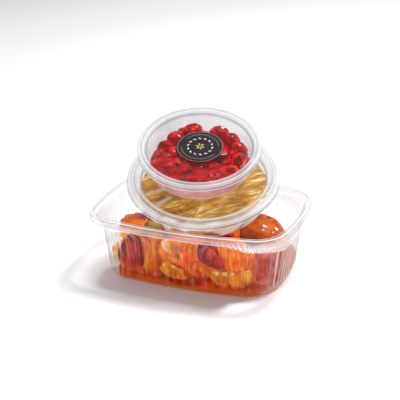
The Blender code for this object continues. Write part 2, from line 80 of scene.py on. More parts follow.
def soft_light(name, place, size, watts, gleams=True):
    """A square soft box that faces the pack, and gleams in what is glossy unless it is told not to."""
    lamp = bpy.data.lights.new(name, "AREA")
    lamp.size = size
    lamp.energy = watts
    made = bpy.data.objects.new(name, lamp)
    bpy.context.scene.collection.objects.link(made)
    made.location = place
    made.visible_glossy = gleams
    made.rotation_euler = (LOOK_AT - Vector(place)).to_track_quat("-Z", "Y").to_euler()


soft_light("light above right", (0.35, 0.50, 1.25), 0.30, 20.0)
soft_light("light above", (-0.8, 1.2, 2.0), 2.4, 9.0)
soft_light("light in front", (-0.6, -1.5, 0.7), 0.5, 9.0, gleams=False)
soft_light("small light behind at the right", (0.95, 1.00, 1.00), 0.12, 4.0)
room = bpy.data.worlds.new("studio")
room.use_nodes = True
room.node_tree.nodes["Background"].inputs["Color"].default_value = (0.95, 0.96, 1.0, 1.0)
room.node_tree.nodes["Background"].inputs["Strength"].default_value = 0.24
bpy.context.scene.world = room


def put(tree, kind, inputs=None, **settings):
    """Adds a node, gives it its settings, and fills or links its inputs, which are named or numbered."""
    made = tree.nodes.new(kind)
    for name, value in settings.items():
        setattr(made, name, value)
    for key, value in (inputs or {}).items():
        if isinstance(value, bpy.types.NodeSocket):
            tree.links.new(value, made.inputs[key])
        else:
            made.inputs[key].default_value = value
    return made


def calc(tree, operation, *values):
    """The result of one Math node, in a shader or a geometry tree."""
    return put(tree, "ShaderNodeMath", dict(enumerate(values)), operation=operation).outputs[0]


def new_finish(name):
    """An empty material: its node tree, and its output node."""
    finish = bpy.data.materials.new(name)
    finish.use_nodes = True
    finish.node_tree.nodes.clear()
    return finish, finish.node_tree, put(finish.node_tree, "ShaderNodeOutputMaterial")


def grain(tree, scale, detail=2.0, stretch=(1.0, 1.0, 1.0), turn=(0.0, 0.0, 0.0), roughness=0.5):
    """Noise that is fixed to the piece, about scale lumps a metre."""
    place = put(tree, "ShaderNodeTexCoord").outputs["Object"]
    turned_place = put(tree, "ShaderNodeMapping", {"Vector": place, "Rotation": turn}).outputs[0]
    laid = put(tree, "ShaderNodeMapping", {"Vector": turned_place, "Scale": stretch}).outputs[0]
    inputs = {"Vector": laid, "Scale": scale, "Detail": detail, "Roughness": roughness}
    return put(tree, "ShaderNodeTexNoise", inputs).outputs["Fac"]


def ramp(tree, fac, *stops):
    """Colours by a number from 0 to 1: each stop is a place and a colour."""
    made = put(tree, "ShaderNodeValToRGB", {"Fac": fac})
    elements = made.color_ramp.elements
    while len(elements) < len(stops):
        elements.new(0.5)
    for element, (place, colour) in zip(elements, stops):
        element.position = place
        element.color = (*colour, 1.0)
    return made.outputs["Color"]


def new_piece(name, vertices, faces, finish, smooth=True):
    """A mesh object at the origin, its place in its mesh."""
    mesh = bpy.data.meshes.new(name)
    mesh.from_pydata([tuple(v) for v in vertices], [], [tuple(f) for f in faces])
    mesh.materials.append(finish)
    if smooth:
        mesh.shade_smooth()
    made = bpy.data.objects.new(name, mesh)
    bpy.context.scene.collection.objects.link(made)
    return made


def stand_for(piece, slot, *nodes):
    """The piece rides on the one body and stands for these nodes of the frame. The slot is not used."""
    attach(piece, "root")
    if nodes:
        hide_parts(*nodes)


table_finish, table_tree, table_output = new_finish("white table")
table_cloud = ramp(table_tree, grain(table_tree, 6.0), (0.0, (0.85, 0.85, 0.85)), (1.0, (0.87, 0.87, 0.87)))
table_shader = put(table_tree, "ShaderNodeBsdfDiffuse", {"Color": table_cloud})
table_tree.links.new(table_shader.outputs[0], table_output.inputs["Surface"])
half_table = TABLE_SIZE / 2
table_corners = ((-half_table, -half_table, 0), (half_table, -half_table, 0),
                 (half_table, half_table, 0), (-half_table, half_table, 0))
table = new_piece("table", table_corners, ((0, 1, 2, 3),), table_finish, smooth=False)
table.location.z = -0.0001          # a hair below the tray's foot


# The tray: one sheet of clear polyester, vacuum-formed over a mould. Its walls are fluted to stiffen them,
# the corners widen in a hatched web under the rim, and the rim is a flat flange with a turned-down skirt.
# Its foot stands up to 4 mm further out than the solid's.
TRAY_HEIGHT = cad_box[0].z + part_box("tray")[1].z
RIM_HALF_LENGTH, RIM_HALF_DEPTH, RIM_CORNER = 74.9 * MM, 49.8 * MM, 15.0 * MM
BASE_HALF_LENGTH, BASE_HALF_DEPTH, BASE_CORNER = 65.5 * MM, 42.0 * MM, 19.0 * MM
BOW_LENGTH, BOW_DEPTH, BASE_BOW = 6.2 * MM, 8.2 * MM, 0.7
TRAY_WALL = 0.6 * MM
FLANGE, SKIRT, SKIRT_LEAN = 4.3 * MM, 5.4 * MM, 0.4 * MM
WALL_FOOT, WALL_TOP, NECK_TOP = 3.5 * MM, 38.0 * MM, 45.5 * MM
FOOT_CORNER, WALL_TOP_CORNER, NECK_CORNER = 20.5 * MM, 25.0 * MM, 11.3 * MM
FOOT_CHAMFER = 2.0 * MM
FOOT_SHARE, WALL_TOP_SHARE, NECK_SHARE = 0.10, 0.85, 0.96      # how far each level has widened to the rim
FLUTES = (4, 7, 6)                  # in each quarter: half a short side, the corner, half a long side
FLUTE_POINTS = 12
FLUTE_DEPTH, FLUTE_FADE = 0.6 * MM, 2.5 * MM
HATCH_DEPTH, HATCH_RISE, HATCH_LINES = 0.1 * MM, 1.7 * MM, 2.5      # lines in the width of one flute


def quarter_steps():
    """For one quarter of the outline: each point's stretch, how far along it is, and its count of flutes."""
    steps = []
    for stretch, flutes in enumerate(FLUTES):
        before, points = sum(FLUTES[:stretch]), flutes * FLUTE_POINTS
        steps += [(stretch, i / points, before + i / FLUTE_POINTS) for i in range(points)]
    return steps + [(2, 1.0, sum(FLUTES))]


QUARTER = quarter_steps()


def around(half_length, half_depth, corner, bow):
    """One level of the tray seen from above: a rounded rectangle whose four sides bow outwards."""
    quarter = []
    for stretch, along, _ in QUARTER:
        if stretch == 0:
            quarter.append((half_length, (half_depth - corner) * along))
        elif stretch == 1:
            angle = math.pi / 2 * along
            quarter.append((half_length - corner * (1 - math.cos(angle)),
                            half_depth - corner * (1 - math.sin(angle))))
        else:
            quarter.append(((half_length - corner) * (1 - along), half_depth))
    first = np.array(quarter)
    mirrored = first[::-1] * (-1, 1)
    half = np.vstack((first[:-1], mirrored[:-1]))
    x, y = np.vstack((half, -half)).T
    side = np.sign(x) * bow * BOW_LENGTH * (1 - (y / half_depth) ** 2) * np.abs(x / half_length) ** 3
    front = np.sign(y) * bow * BOW_DEPTH * (1 - (x / half_length) ** 2) * np.abs(y / half_depth) ** 3
    return np.stack((x + side, y + front), 1)


def flute_counts():
    """The number of flutes up to each point, all the way round."""
    counts = np.array([count for _, _, count in QUARTER])
    whole = sum(FLUTES)
    half = np.concatenate((counts[:-1], 2 * whole - counts[::-1][:-1]))
    return np.concatenate((half, half + 2 * whole))


def step_between(low, high, value):
    """0 below low, 1 above high, and a smooth step between."""
    share = min(max((value - low) / (high - low), 0.0), 1.0)
    return share * share * (3 - 2 * share)


def wall_level(height, inset):
    """The tapering wall's outline at a height, with its corner as round as the mould has it there."""
    if height <= WALL_TOP:
        climbed = (height - WALL_FOOT) / (WALL_TOP - WALL_FOOT)
        share = FOOT_SHARE + (WALL_TOP_SHARE - FOOT_SHARE) * climbed
        corner = FOOT_CORNER + (WALL_TOP_CORNER - FOOT_CORNER) * climbed
    elif height <= NECK_TOP:
        climbed = (height - WALL_TOP) / (NECK_TOP - WALL_TOP)
        share = WALL_TOP_SHARE + (NECK_SHARE - WALL_TOP_SHARE) * climbed
        corner = WALL_TOP_CORNER + (NECK_CORNER - WALL_TOP_CORNER) * climbed
    else:
        climbed = (height - NECK_TOP) / (TRAY_HEIGHT - NECK_TOP)
        share, corner = NECK_SHARE + (1 - NECK_SHARE) * climbed, NECK_CORNER
    if height < WALL_FOOT:
        share = FOOT_SHARE * height / WALL_FOOT
        corner = BASE_CORNER + (FOOT_CORNER - BASE_CORNER) * height / WALL_FOOT
    half_length = BASE_HALF_LENGTH + (RIM_HALF_LENGTH - FLANGE - BASE_HALF_LENGTH) * share - inset
    half_depth = BASE_HALF_DEPTH + (RIM_HALF_DEPTH - FLANGE - BASE_HALF_DEPTH) * share - inset
    return around(half_length, half_depth, corner - inset, BASE_BOW + (1 - BASE_BOW) * share)


def rim_level(inset):
    """The rim's outline, drawn in by an inset."""
    return around(RIM_HALF_LENGTH - inset, RIM_HALF_DEPTH - inset, RIM_CORNER - inset, 1.0)


def foot_rings(inset, floor):
    """The base and the rounded foot of the wall: each ring is an outline and its height."""
    rings = [(wall_level(0.0, FOOT_CHAMFER + inset) * share, floor) for share in (0.35, 0.7, 0.93)]
    for i in range(6):
        angle = math.pi / 2 * i / 6
        height = floor + (WALL_FOOT - floor) * (1 - math.cos(angle))
        rings.append((wall_level(height, inset + FOOT_CHAMFER * (1 - math.sin(angle))), height))
    return rings


FLUTED_HEIGHTS = [WALL_FOOT + h * MM for h in (0.0, 0.7, 1.5, 2.5)]
FLUTED_HEIGHTS += [h * MM for h in (12, 18, 24, 28, *range(30, 39))]
WEB_HEIGHTS = [WALL_TOP + (NECK_TOP - WALL_TOP) * i / 13 for i in range(1, 14)]
NECK_HEIGHTS = [NECK_TOP + h * MM for h in (1.6, 3.2, 4.2)]
STREAK_FRONT, STREAK_END = 0.05, 0.80        # strength of the painted highlight lines on a flute's crest, long and short sides
WEB_FOOT, WEB_RISE, WEB_REACH = 31.5 * MM, 14.0 * MM, 60.0 * MM     # a web's lower edge, and how it runs out
END_VEIL, FOOT_GLEAM = 0.02, 0.25            # a faint milky veil on the short sides, and a painted highlight low on the right foot

RIM_HIGHLIGHTS = {8: 0.4, 9: 0.5, 10: 0.5, 11: 0.3, 17: 0.9, 18: 0.8, 19: 0.35, 23: 0.5}      # rings with a painted highlight
RIM_SHADES = {4: 0.5, 12: 0.5, 13: 0.3, 16: 0.5, 20: 0.6, 21: 0.5}      # rings with painted shade

counts = flute_counts()
rings = foot_rings(0.0, 0.0)
rings += [(wall_level(h, 0.0), h) for h in FLUTED_HEIGHTS + WEB_HEIGHTS + NECK_HEIGHTS]
rim_start = len(rings)
flange_under = TRAY_HEIGHT - TRAY_WALL
skirt_foot = TRAY_HEIGHT - SKIRT
inner_edge, outer_edge = wall_level(TRAY_HEIGHT, 0.0), rim_level(TRAY_WALL + SKIRT_LEAN)
rings += [(inner_edge + (outer_edge - inner_edge) * share, flange_under) for share in (0.06, 0.35, 0.65, 0.9)]
rings += [(rim_level(TRAY_WALL + SKIRT_LEAN * share), flange_under - drop * MM)
          for share, drop in ((1.0, 0.5), (0.8, 1.6), (0.6, 2.8), (0.3, 3.9))]
rings += [(rim_level(TRAY_WALL * 0.9), skirt_foot + 0.15 * MM), (rim_level(TRAY_WALL / 2), skirt_foot),
          (rim_level(0.05 * MM), skirt_foot + 0.2 * MM), (rim_level(0.0), skirt_foot + 0.7 * MM)]
rings += [(rim_level(SKIRT_LEAN * share), skirt_foot + rise * MM)
          for share, rise in ((0.45, 1.3), (0.5, 2.4), (0.6, 3.6), (0.8, 4.5), (1.6, 5.1), (3.2, 5.38))]
rings += [(inner_edge + (rim_level(SKIRT_LEAN) - inner_edge) * share, TRAY_HEIGHT + sink * MM)
          for share, sink in ((0.62, -0.05), (0.5, -0.25), (0.35, -0.25), (0.2, -0.02), (0.02, 0.0),
                              (-0.12, -0.15))]
rim_end = len(rings)
rings += [(wall_level(h, TRAY_WALL), h) for h in (FLUTED_HEIGHTS + WEB_HEIGHTS + NECK_HEIGHTS)[::-1]]
rings += foot_rings(TRAY_WALL, TRAY_WALL)[::-1]

size_round = len(counts)
phase = counts % 1.0
wall_x = wall_level(WALL_TOP, 0.0)[:, 0]
past_end = (np.abs(wall_x).max() - np.abs(wall_x)) / WEB_REACH
web_foot = WEB_FOOT + WEB_RISE * np.minimum(1, past_end ** 0.7)


def ridge(middle, width):
    """1 on a line that runs up each flute at a place across it, and 0 away from it."""
    away = np.abs((phase - middle + 0.5) % 1.0 - 0.5)
    return np.exp(-(away / width) ** 2)


def eased(low, high, values):
    """The same step as step_between, for a whole row of values."""
    return np.array([step_between(low, high, value) for value in values])


points, flute_value, outward, wall_mask, web_mask, haze_value, painted_highlights, painted_shades = [], [], [], [], [], [], [], []
wet_mask = []
for row, (outline, height) in enumerate(rings):
    along = np.roll(outline, -1, axis=0) - np.roll(outline, 1, axis=0)
    normals = np.stack((along[:, 1], -along[:, 0]), 1)
    normals /= np.linalg.norm(normals, axis=1)[:, None]
    points += [(x, y, height) for x, y in outline]
    flute_value += counts.tolist()
    outward += [(x, y, 0.0) for x, y in normals]
    on_wall = (step_between(WALL_FOOT, WALL_FOOT + FLUTE_FADE, height)
               * eased(-0.5 * MM, 1.5 * MM, web_foot - height))
    on_web = (eased(-0.3 * MM, 0.3 * MM, height - web_foot)
              * (1 - step_between(NECK_TOP - MM, NECK_TOP + MM, height)))
    wall_mask += (on_wall * (1 - 0.6 * eased(0.9, 0.97, normals[:, 0]))).tolist()
    web_mask += (on_web * (row < rim_start)).tolist()
    # Painted highlight lines run up the flute crests, strongest on the short sides and the front left corner.
    strong = np.maximum(eased(0.76, 0.86, normals[:, 0]), eased(0.15, 0.35, -normals[:, 0]))
    front_left = eased(0.0, 20 * MM, -outline[:, 0] - 20 * MM) * eased(0.0, 0.2, -normals[:, 1])
    veil = END_VEIL * eased(0.9, 0.97, normals[:, 0]) * eased(-20 * MM, 0.0, outline[:, 1])
    narrow = 0.15 - 0.07 * eased(0.88, 0.96, normals[:, 0])
    narrow = narrow * (1 - 0.9 * (row >= rim_end) * eased(0.84, 0.9, normals[:, 0]))
    lines = strong * ridge(0.5, narrow) + (1 - strong) * (ridge(0.5, 0.07) + 0.5 * ridge(0.85, 0.04))
    fading = step_between(20 * MM, 33 * MM, height)
    strength = STREAK_FRONT + 0.22 * front_left * fading + (STREAK_END - STREAK_FRONT) * strong
    left_end = strong * (normals[:, 0] < 0)
    clear_low = 1 - left_end * (1 - fading)
    far = eased(10 * MM, 30 * MM, outline[:, 1])
    # dark is painted shade: dark lines beside each crest, most on the short sides and the back.
    dark = 0.45 * (ridge(0.2, 0.07) + ridge(0.8, 0.07)) * (
        0.12 + 0.88 * np.maximum(strong * clear_low * (1 - 0.6 * (normals[:, 0] < 0)), 0.6 * far))
    # foot is a painted highlight low on the right foot.
    foot = FOOT_GLEAM * eased(0.6, 0.85, normals[:, 0]) * (1 - step_between(5 * MM, 9 * MM, height))
    rim_highlight, rim_shade, on_rim = 0.0, 0.0, 0.0
    if rim_start <= row < rim_end:
        on_rim = 1.0
        rim_highlight = RIM_HIGHLIGHTS.get(row - rim_start, 0.0)
        rim_shade = RIM_SHADES.get(row - rim_start, 0.0)
    haze_value += [on_rim] * size_round
    touched = eased(-54 * MM, -46 * MM, outline[:, 0]) * eased(18 * MM, 30 * MM, -outline[:, 1])
    touched = touched * (1 - step_between(30 * MM, 38 * MM, height))
    wet_mask += (on_wall * touched * (row >= rim_end)).tolist()
    # painted_highlights holds each point's painted highlight, with a faint milky veil; painted_shades its
    # painted shade.
    painted_highlights += (on_wall * (lines * strength * (0.06 + 0.94 * clear_low) + veil)
                + foot * (row < rim_start) + rim_highlight).tolist()
    painted_shades += (on_wall * dark + rim_shade).tolist()
points += [(0.0, 0.0, 0.0), (0.0, 0.0, TRAY_WALL)]
base_middle, floor_middle = len(points) - 2, len(points) - 1
faces = []
for row in range(len(rings) - 1):
    for i in range(size_round):
        j = (i + 1) % size_round
        low, high = row * size_round, (row + 1) * size_round
        faces.append((low + i, low + j, high + j, high + i))
last = (len(rings) - 1) * size_round
for i in range(size_round):
    j = (i + 1) % size_round
    faces.append((j, i, base_middle))
    faces.append((last + i, last + j, floor_middle))


def hatched(tree):
    """Fine slanting lines on the tray's corner webs, along the moulded hatch: painted highlight lines, shown
    as milkiness.
    """
    web = put(tree, "ShaderNodeAttribute", attribute_name="web").outputs["Fac"]
    flute = put(tree, "ShaderNodeAttribute", attribute_name="flute").outputs["Fac"]
    place = put(tree, "ShaderNodeTexCoord").outputs["Object"]
    height = put(tree, "ShaderNodeSeparateXYZ", {0: place}).outputs["Z"]
    turns = calc(tree, "MULTIPLY_ADD", flute, HATCH_LINES, calc(tree, "DIVIDE", height, HATCH_RISE))
    wave = calc(tree, "SINE", calc(tree, "MULTIPLY", turns, 2 * math.pi))
    return calc(tree, "MULTIPLY", web, calc(tree, "MULTIPLY_ADD", wave, 0.42, 0.64)), web


def scraped(tree, low, high):
    """Faint upright lines along the fluted wall, 1 on a line and 0 between: painted highlight and painted
    dark lines.
    """
    wall = put(tree, "ShaderNodeAttribute", attribute_name="wall").outputs["Fac"]
    flute = put(tree, "ShaderNodeAttribute", attribute_name="flute").outputs["Fac"]
    height = put(tree, "ShaderNodeSeparateXYZ",
                 {0: put(tree, "ShaderNodeTexCoord").outputs["Object"]}).outputs["Z"]
    place = put(tree, "ShaderNodeCombineXYZ", {"X": calc(tree, "MULTIPLY", flute, 5.0),
                                               "Y": calc(tree, "MULTIPLY", height, 70.0)}).outputs[0]
    marks = put(tree, "ShaderNodeTexNoise", {"Vector": place, "Scale": 1.0, "Detail": 2.0},
                noise_dimensions="2D")
    share = put(tree, "ShaderNodeMapRange",
                {"Value": marks.outputs["Fac"], "From Min": low, "From Max": high})
    return calc(tree, "MULTIPLY", share.outputs[0], wall)


def clear_plastic(name, tint, edge, milk, haze, sheen, waviness, hatch=False):
    """Thin clear sheet: it lets light straight through, greyer at a slant, mirrors a little, and is a little
    milky, with a faint painted white glow. Its pieces say where it is hazy, where painted highlight runs
    along a crest, and where painted shade lies along a bend. The light that it mirrors still reaches what is
    near, so its shadow is no darker than its haze."""
    finish, tree, output = new_finish(name)
    ripple = put(tree, "ShaderNodeBump", {"Height": grain(tree, 130.0, 3.0), "Strength": waviness,
                                          "Distance": 0.001}).outputs["Normal"]
    slant = put(tree, "ShaderNodeLayerWeight", {"Blend": 0.5, "Normal": ripple}).outputs["Facing"]
    mirrored = calc(tree, "MULTIPLY_ADD", calc(tree, "POWER", slant, 5.0), 0.35 - sheen, sheen)
    smear = grain(tree, 60.0, 4.0)
    hazy = put(tree, "ShaderNodeAttribute", attribute_name="haze").outputs["Fac"]
    streak = put(tree, "ShaderNodeAttribute", attribute_name="streak").outputs["Fac"]
    bend = put(tree, "ShaderNodeAttribute", attribute_name="bend").outputs["Fac"]
    # The streak attribute is painted highlight, shown as milkiness.
    cloudy = calc(tree, "ADD", calc(tree, "MULTIPLY_ADD", hazy, haze, milk), streak)
    cloudy = calc(tree, "MULTIPLY", cloudy, calc(tree, "MULTIPLY_ADD", smear, 1.0, 0.5))
    # The milky part gives off a faint painted white glow, stronger on the webs.
    painted_glow_strength = 0.30 if hatch else 0.27
    if hatch:
        lines, web = hatched(tree)
        cloudy = calc(tree, "ADD", cloudy, lines)
        # On the tray: painted highlight and painted dark lines along the upright lines, a web that lets less
        # through, and a stronger painted glow on the web.
        cloudy = calc(tree, "MULTIPLY_ADD", scraped(tree, 0.56, 0.74), 0.10, cloudy)
        bend = calc(tree, "MULTIPLY_ADD", scraped(tree, 0.45, 0.30), 0.30, bend)
        bend = calc(tree, "MULTIPLY_ADD", web, 0.5, bend)
        painted_glow_strength = calc(tree, "MULTIPLY_ADD", web, 0.15, painted_glow_strength)
    rough = calc(tree, "MULTIPLY_ADD", smear, 0.10, 0.02)
    greyed = ramp(tree, slant, (0.0, tint), (0.5, tint), (1.0, edge))
    # The bend attribute is painted shade: it darkens what shows through the sheet.
    greyed = put(tree, "ShaderNodeMix", {0: bend, 6: greyed, 7: (*(tone * 0.8 for tone in edge), 1.0)},
                 data_type="RGBA").outputs[2]
    if hatch:
        wet = put(tree, "ShaderNodeAttribute", attribute_name="wet").outputs["Fac"]
        film = put(tree, "ShaderNodeMapRange",
                   {"Value": grain(tree, 150.0, 4.0), "From Min": 0.42, "From Max": 0.66})
        greyed = put(tree, "ShaderNodeMix", {0: calc(tree, "MULTIPLY", film.outputs[0], wet), 6: greyed,
                                             7: (0.98, 0.56, 0.24, 1.0)}, data_type="RGBA").outputs[2]
    clear = put(tree, "ShaderNodeBsdfTransparent", {"Color": greyed}).outputs[0]
    front = put(tree, "ShaderNodeBsdfDiffuse", {"Color": (0.64, 0.65, 0.66, 1.0)}).outputs[0]
    through = put(tree, "ShaderNodeBsdfTranslucent", {"Color": (0.62, 0.65, 0.67, 1.0)}).outputs[0]
    painted_glow = put(tree, "ShaderNodeEmission", {"Color": (1.0, 1.0, 1.0, 1.0), "Strength": painted_glow_strength}).outputs[0]
    milky = put(tree, "ShaderNodeMixShader", {0: 0.4, 1: front, 2: through}).outputs[0]
    milky = put(tree, "ShaderNodeAddShader", {0: milky, 1: painted_glow}).outputs[0]
    mirror = put(tree, "ShaderNodeBsdfGlossy", {"Color": (1.0, 1.0, 1.0, 1.0), "Roughness": rough,
                                                "Normal": ripple}).outputs[0]
    body = put(tree, "ShaderNodeMixShader", {0: cloudy, 1: clear, 2: milky}).outputs[0]
    whole = put(tree, "ShaderNodeMixShader", {0: mirrored, 1: body, 2: mirror}).outputs[0]
    dimmed = calc(tree, "MULTIPLY_ADD", hazy, -0.62 if hatch else -0.15, 0.97)
    lets_light_by = put(tree, "ShaderNodeBsdfTransparent", {"Color": dimmed}).outputs[0]
    shadow = put(tree, "ShaderNodeLightPath").outputs["Is Shadow Ray"]
    cast = put(tree, "ShaderNodeMixShader", {0: shadow, 1: whole, 2: lets_light_by}).outputs[0]
    tree.links.new(cast, output.inputs["Surface"])
    return finish


def give_attribute(piece, label, values, kind="FLOAT"):
    """Writes one number, or one vector, for each point of a piece."""
    attribute = piece.data.attributes.new(label, kind, "POINT")
    flat = np.array(values, np.int32 if kind == "INT" else np.float32).ravel()
    attribute.data.foreach_set("vector" if kind == "FLOAT_VECTOR" else "value", flat)


def geometry_tree(name, sizes):
    """A Geometry Nodes tree with a mesh in, a mesh out, and one named number for each size."""
    tree = bpy.data.node_groups.new(name, "GeometryNodeTree")
    tree.interface.new_socket("Mesh", in_out="INPUT", socket_type="NodeSocketGeometry")
    for label in sizes:
        tree.interface.new_socket(label, in_out="INPUT", socket_type="NodeSocketFloat")
    tree.interface.new_socket("Mesh", in_out="OUTPUT", socket_type="NodeSocketGeometry")
    return tree, put(tree, "NodeGroupInput").outputs


def finish_tree(tree, geometry, finish):
    """Ends a tree in Realize Instances and Set Material."""
    real = put(tree, "GeometryNodeRealizeInstances", {0: geometry}).outputs[0]
    dressed = put(tree, "GeometryNodeSetMaterial", {"Geometry": real, "Material": finish}).outputs[0]
    put(tree, "NodeGroupOutput", {"Mesh": dressed})


def run_tree(piece, tree, sizes):
    """Runs a tree on a piece and keeps the result as the piece's plain mesh."""
    modifier = piece.modifiers.new(tree.name, "NODES")
    modifier.node_group = tree
    for item in tree.interface.items_tree:
        if item.in_out == "INPUT" and item.name in sizes:
            modifier[item.identifier] = sizes[item.name]
    bpy.context.view_layer.update()
    whole = piece.evaluated_get(bpy.context.evaluated_depsgraph_get())
    mesh = bpy.data.meshes.new_from_object(whole)
    piece.modifiers.remove(modifier)
    piece.data = mesh
    mesh.name = piece.name
    mesh.shade_smooth()


def number_of(tree, label, data_type="FLOAT"):
    """What a mesh's points hold under a name, for a geometry tree."""
    return put(tree, "GeometryNodeInputNamedAttribute", {"Name": label}, data_type=data_type).outputs[0]


tray_sheet = clear_plastic("clear tray sheet", (0.985, 0.985, 0.985), (0.82, 0.835, 0.85), 0.002, 0.16, 0.007,
                           0.12, hatch=True)
tray = new_piece("tray_shell", points, faces, tray_sheet)
for label, values in (("flute", flute_value), ("wall", wall_mask), ("web", web_mask), ("haze", haze_value),
                      ("streak", painted_highlights), ("bend", painted_shades), ("wet", wet_mask)):
    give_attribute(tray, label, list(values) + [0.0, 0.0])
give_attribute(tray, "outward", outward + [(0.0, 0.0, 0.0)] * 2, "FLOAT_VECTOR")

flute_tree, given = geometry_tree("flutes and hatch", ("Flute depth", "Hatch depth", "Hatch rise"))
turn = calc(flute_tree, "MULTIPLY", number_of(flute_tree, "flute"), 2 * math.pi)
wave = calc(flute_tree, "POWER",
            calc(flute_tree, "MULTIPLY_ADD", calc(flute_tree, "COSINE", turn), -0.5, 0.5), 1.6)
push = calc(flute_tree, "MULTIPLY", calc(flute_tree, "MULTIPLY", wave, given["Flute depth"]),
            number_of(flute_tree, "wall"))
height = put(flute_tree, "ShaderNodeSeparateXYZ",
             {0: put(flute_tree, "GeometryNodeInputPosition").outputs[0]})
climb = calc(flute_tree, "DIVIDE", height.outputs["Z"], given["Hatch rise"])
slope = calc(flute_tree, "MULTIPLY_ADD", climb, 2 * math.pi, calc(flute_tree, "MULTIPLY", turn, HATCH_LINES))
hatch = calc(flute_tree, "MULTIPLY", calc(flute_tree, "SINE", slope), given["Hatch depth"])
hatch = calc(flute_tree, "MULTIPLY", hatch, number_of(flute_tree, "web"))
inwards = calc(flute_tree, "SUBTRACT", hatch, push)
offset = put(flute_tree, "ShaderNodeVectorMath",
             {0: number_of(flute_tree, "outward", "FLOAT_VECTOR"), "Scale": inwards},
             operation="SCALE").outputs[0]
moved = put(flute_tree, "GeometryNodeSetPosition", {"Geometry": given["Mesh"], "Offset": offset}).outputs[0]
finish_tree(flute_tree, moved, tray_sheet)
run_tree(tray, flute_tree, {"Flute depth": FLUTE_DEPTH, "Hatch depth": HATCH_DEPTH, "Hatch rise": HATCH_RISE})
stand_for(tray, "tray_plastic", "tray")


# The syrup that has drained off the fruit: a pool of clear deep red-brown sugar syrup, poured in with the
# fruit. It wets the tray's floor and walls, so its skin lies just inside the thickness of the sheet.
SYRUP_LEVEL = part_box("syrup")[1].z
WET_INSET = 0.45 * MM
MENISCUS = 0.5 * MM
DRY_CORNER = -52.0 * MM             # it is so thick that it hasn't run into the front left corner

syrup_rings = foot_rings(WET_INSET, WET_INSET)
syrup_rings += [(wall_level(h, WET_INSET), h) for h in np.linspace(WALL_FOOT, SYRUP_LEVEL, 5)]
shore = wall_level(SYRUP_LEVEL, WET_INSET)
syrup_rings += [(shore * share, SYRUP_LEVEL - MENISCUS * (1 - (share - 0.96) / 0.04 if share > 0.96 else 1))
                for share in (0.99, 0.975, 0.96, 0.85, 0.65, 0.45, 0.25)]
syrup_points = []
for outline, level in syrup_rings:
    for (x, y), count in zip(outline, counts):
        on_wall = step_between(WALL_FOOT, WALL_FOOT + FLUTE_FADE, level)
        at_wall = abs(x) > 0.9 * abs(shore[:, 0]).max() or abs(y) > 0.7 * abs(shore[:, 1]).max()
        dent = FLUTE_DEPTH * on_wall * (0.5 - 0.5 * math.cos(2 * math.pi * count)) ** 1.6 if at_wall else 0.0
        reach = math.hypot(x, y)
        x, y = x * (1 - dent / reach), y * (1 - dent / reach)
        if y < 0:
            x = max(x, DRY_CORNER - 0.25 * (y + 43 * MM) - 20 * MM * step_between(-22 * MM, 0.0, y))
        syrup_points.append((x, y, level))
last_ring = (len(syrup_rings) - 1) * size_round
syrup_points += [(0.0, 0.0, WET_INSET), (0.0, 0.0, SYRUP_LEVEL - MENISCUS)]
syrup_faces = []
for row in range(len(syrup_rings) - 1):
    for i in range(size_round):
        j = (i + 1) % size_round
        low, high = row * size_round, (row + 1) * size_round
        syrup_faces.append((low + i, low + j, high + j, high + i))
for i in range(size_round):
    j = (i + 1) % size_round
    syrup_faces.append((j, i, len(syrup_points) - 2))
    syrup_faces.append((last_ring + i, last_ring + j, len(syrup_points) - 1))

syrup_finish, syrup_tree, syrup_output = new_finish("deep syrup")
swirl = grain(syrup_tree, 70.0, 4.0, (0.5, 1.0, 1.0))
syrup_colour = ramp(syrup_tree, swirl, (0.34, (0.42, 0.05, 0.003)), (0.50, (0.72, 0.15, 0.008)),
                    (0.66, (0.95, 0.38, 0.04)))
# The thick syrup's emission is a painted orange glow.
syrup_thick = put(syrup_tree, "ShaderNodeBsdfPrincipled",
                  {"Base Color": syrup_colour, "Roughness": 0.12, "Specular IOR Level": 0.1,
                   "Subsurface Weight": 0.6, "Subsurface Radius": (1.0, 0.3, 0.08), "Subsurface Scale": 0.004,
                   "Emission Color": (1.0, 0.20, 0.01, 1.0), "Emission Strength": 0.10})
syrup_clear = put(syrup_tree, "ShaderNodeBsdfTransparent", {"Color": (0.97, 0.48, 0.13, 1.0)})
syrup_height = put(syrup_tree, "ShaderNodeSeparateXYZ",
                   {0: put(syrup_tree, "ShaderNodeTexCoord").outputs["Object"]}).outputs["Z"]
near_top = put(syrup_tree, "ShaderNodeMapRange",
               {"Value": syrup_height, "From Min": 0.002, "From Max": SYRUP_LEVEL,
                                                  "To Min": 0.30, "To Max": 1.0}).outputs[0]
syrup_share = calc(syrup_tree, "ADD", near_top, calc(syrup_tree, "MULTIPLY_ADD", swirl, 1.6, -0.8))
syrup_mix = put(syrup_tree, "ShaderNodeMixShader",
                {0: syrup_share, 1: syrup_thick.outputs[0], 2: syrup_clear.outputs[0]})
syrup_tree.links.new(syrup_mix.outputs[0], syrup_output.inputs["Surface"])
syrup = new_piece("syrup_pool", syrup_points, syrup_faces, syrup_finish)
stand_for(syrup, "syrup", "syrup")


# The fruit: whole and cut fruit boiled in sugar until the flesh is glassy. It is soft, so each fruit is
# pressed flat where it lies against its neighbours, and every piece is wet with syrup.
FINE, COARSE = 0.65 * MM, 0.9 * MM  # how fine the skin of a fruit is that shows, and of one that doesn't
INSIDE_FLUTES = TRAY_WALL + FLUTE_DEPTH * 0.7       # from the wall's outside to where fruit meets its flutes
REACH_ROWS, REACH_COLUMNS = 100, 720                # steps by height and round the tray


def welded(node):
    """A copy of a node's mesh with its loose triangles joined up."""
    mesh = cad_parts[node].data.copy()
    bm = bmesh.new()
    bm.from_mesh(mesh)
    bmesh.ops.remove_doubles(bm, verts=bm.verts, dist=0.00001)
    bm.to_mesh(mesh)
    bm.free()
    return mesh


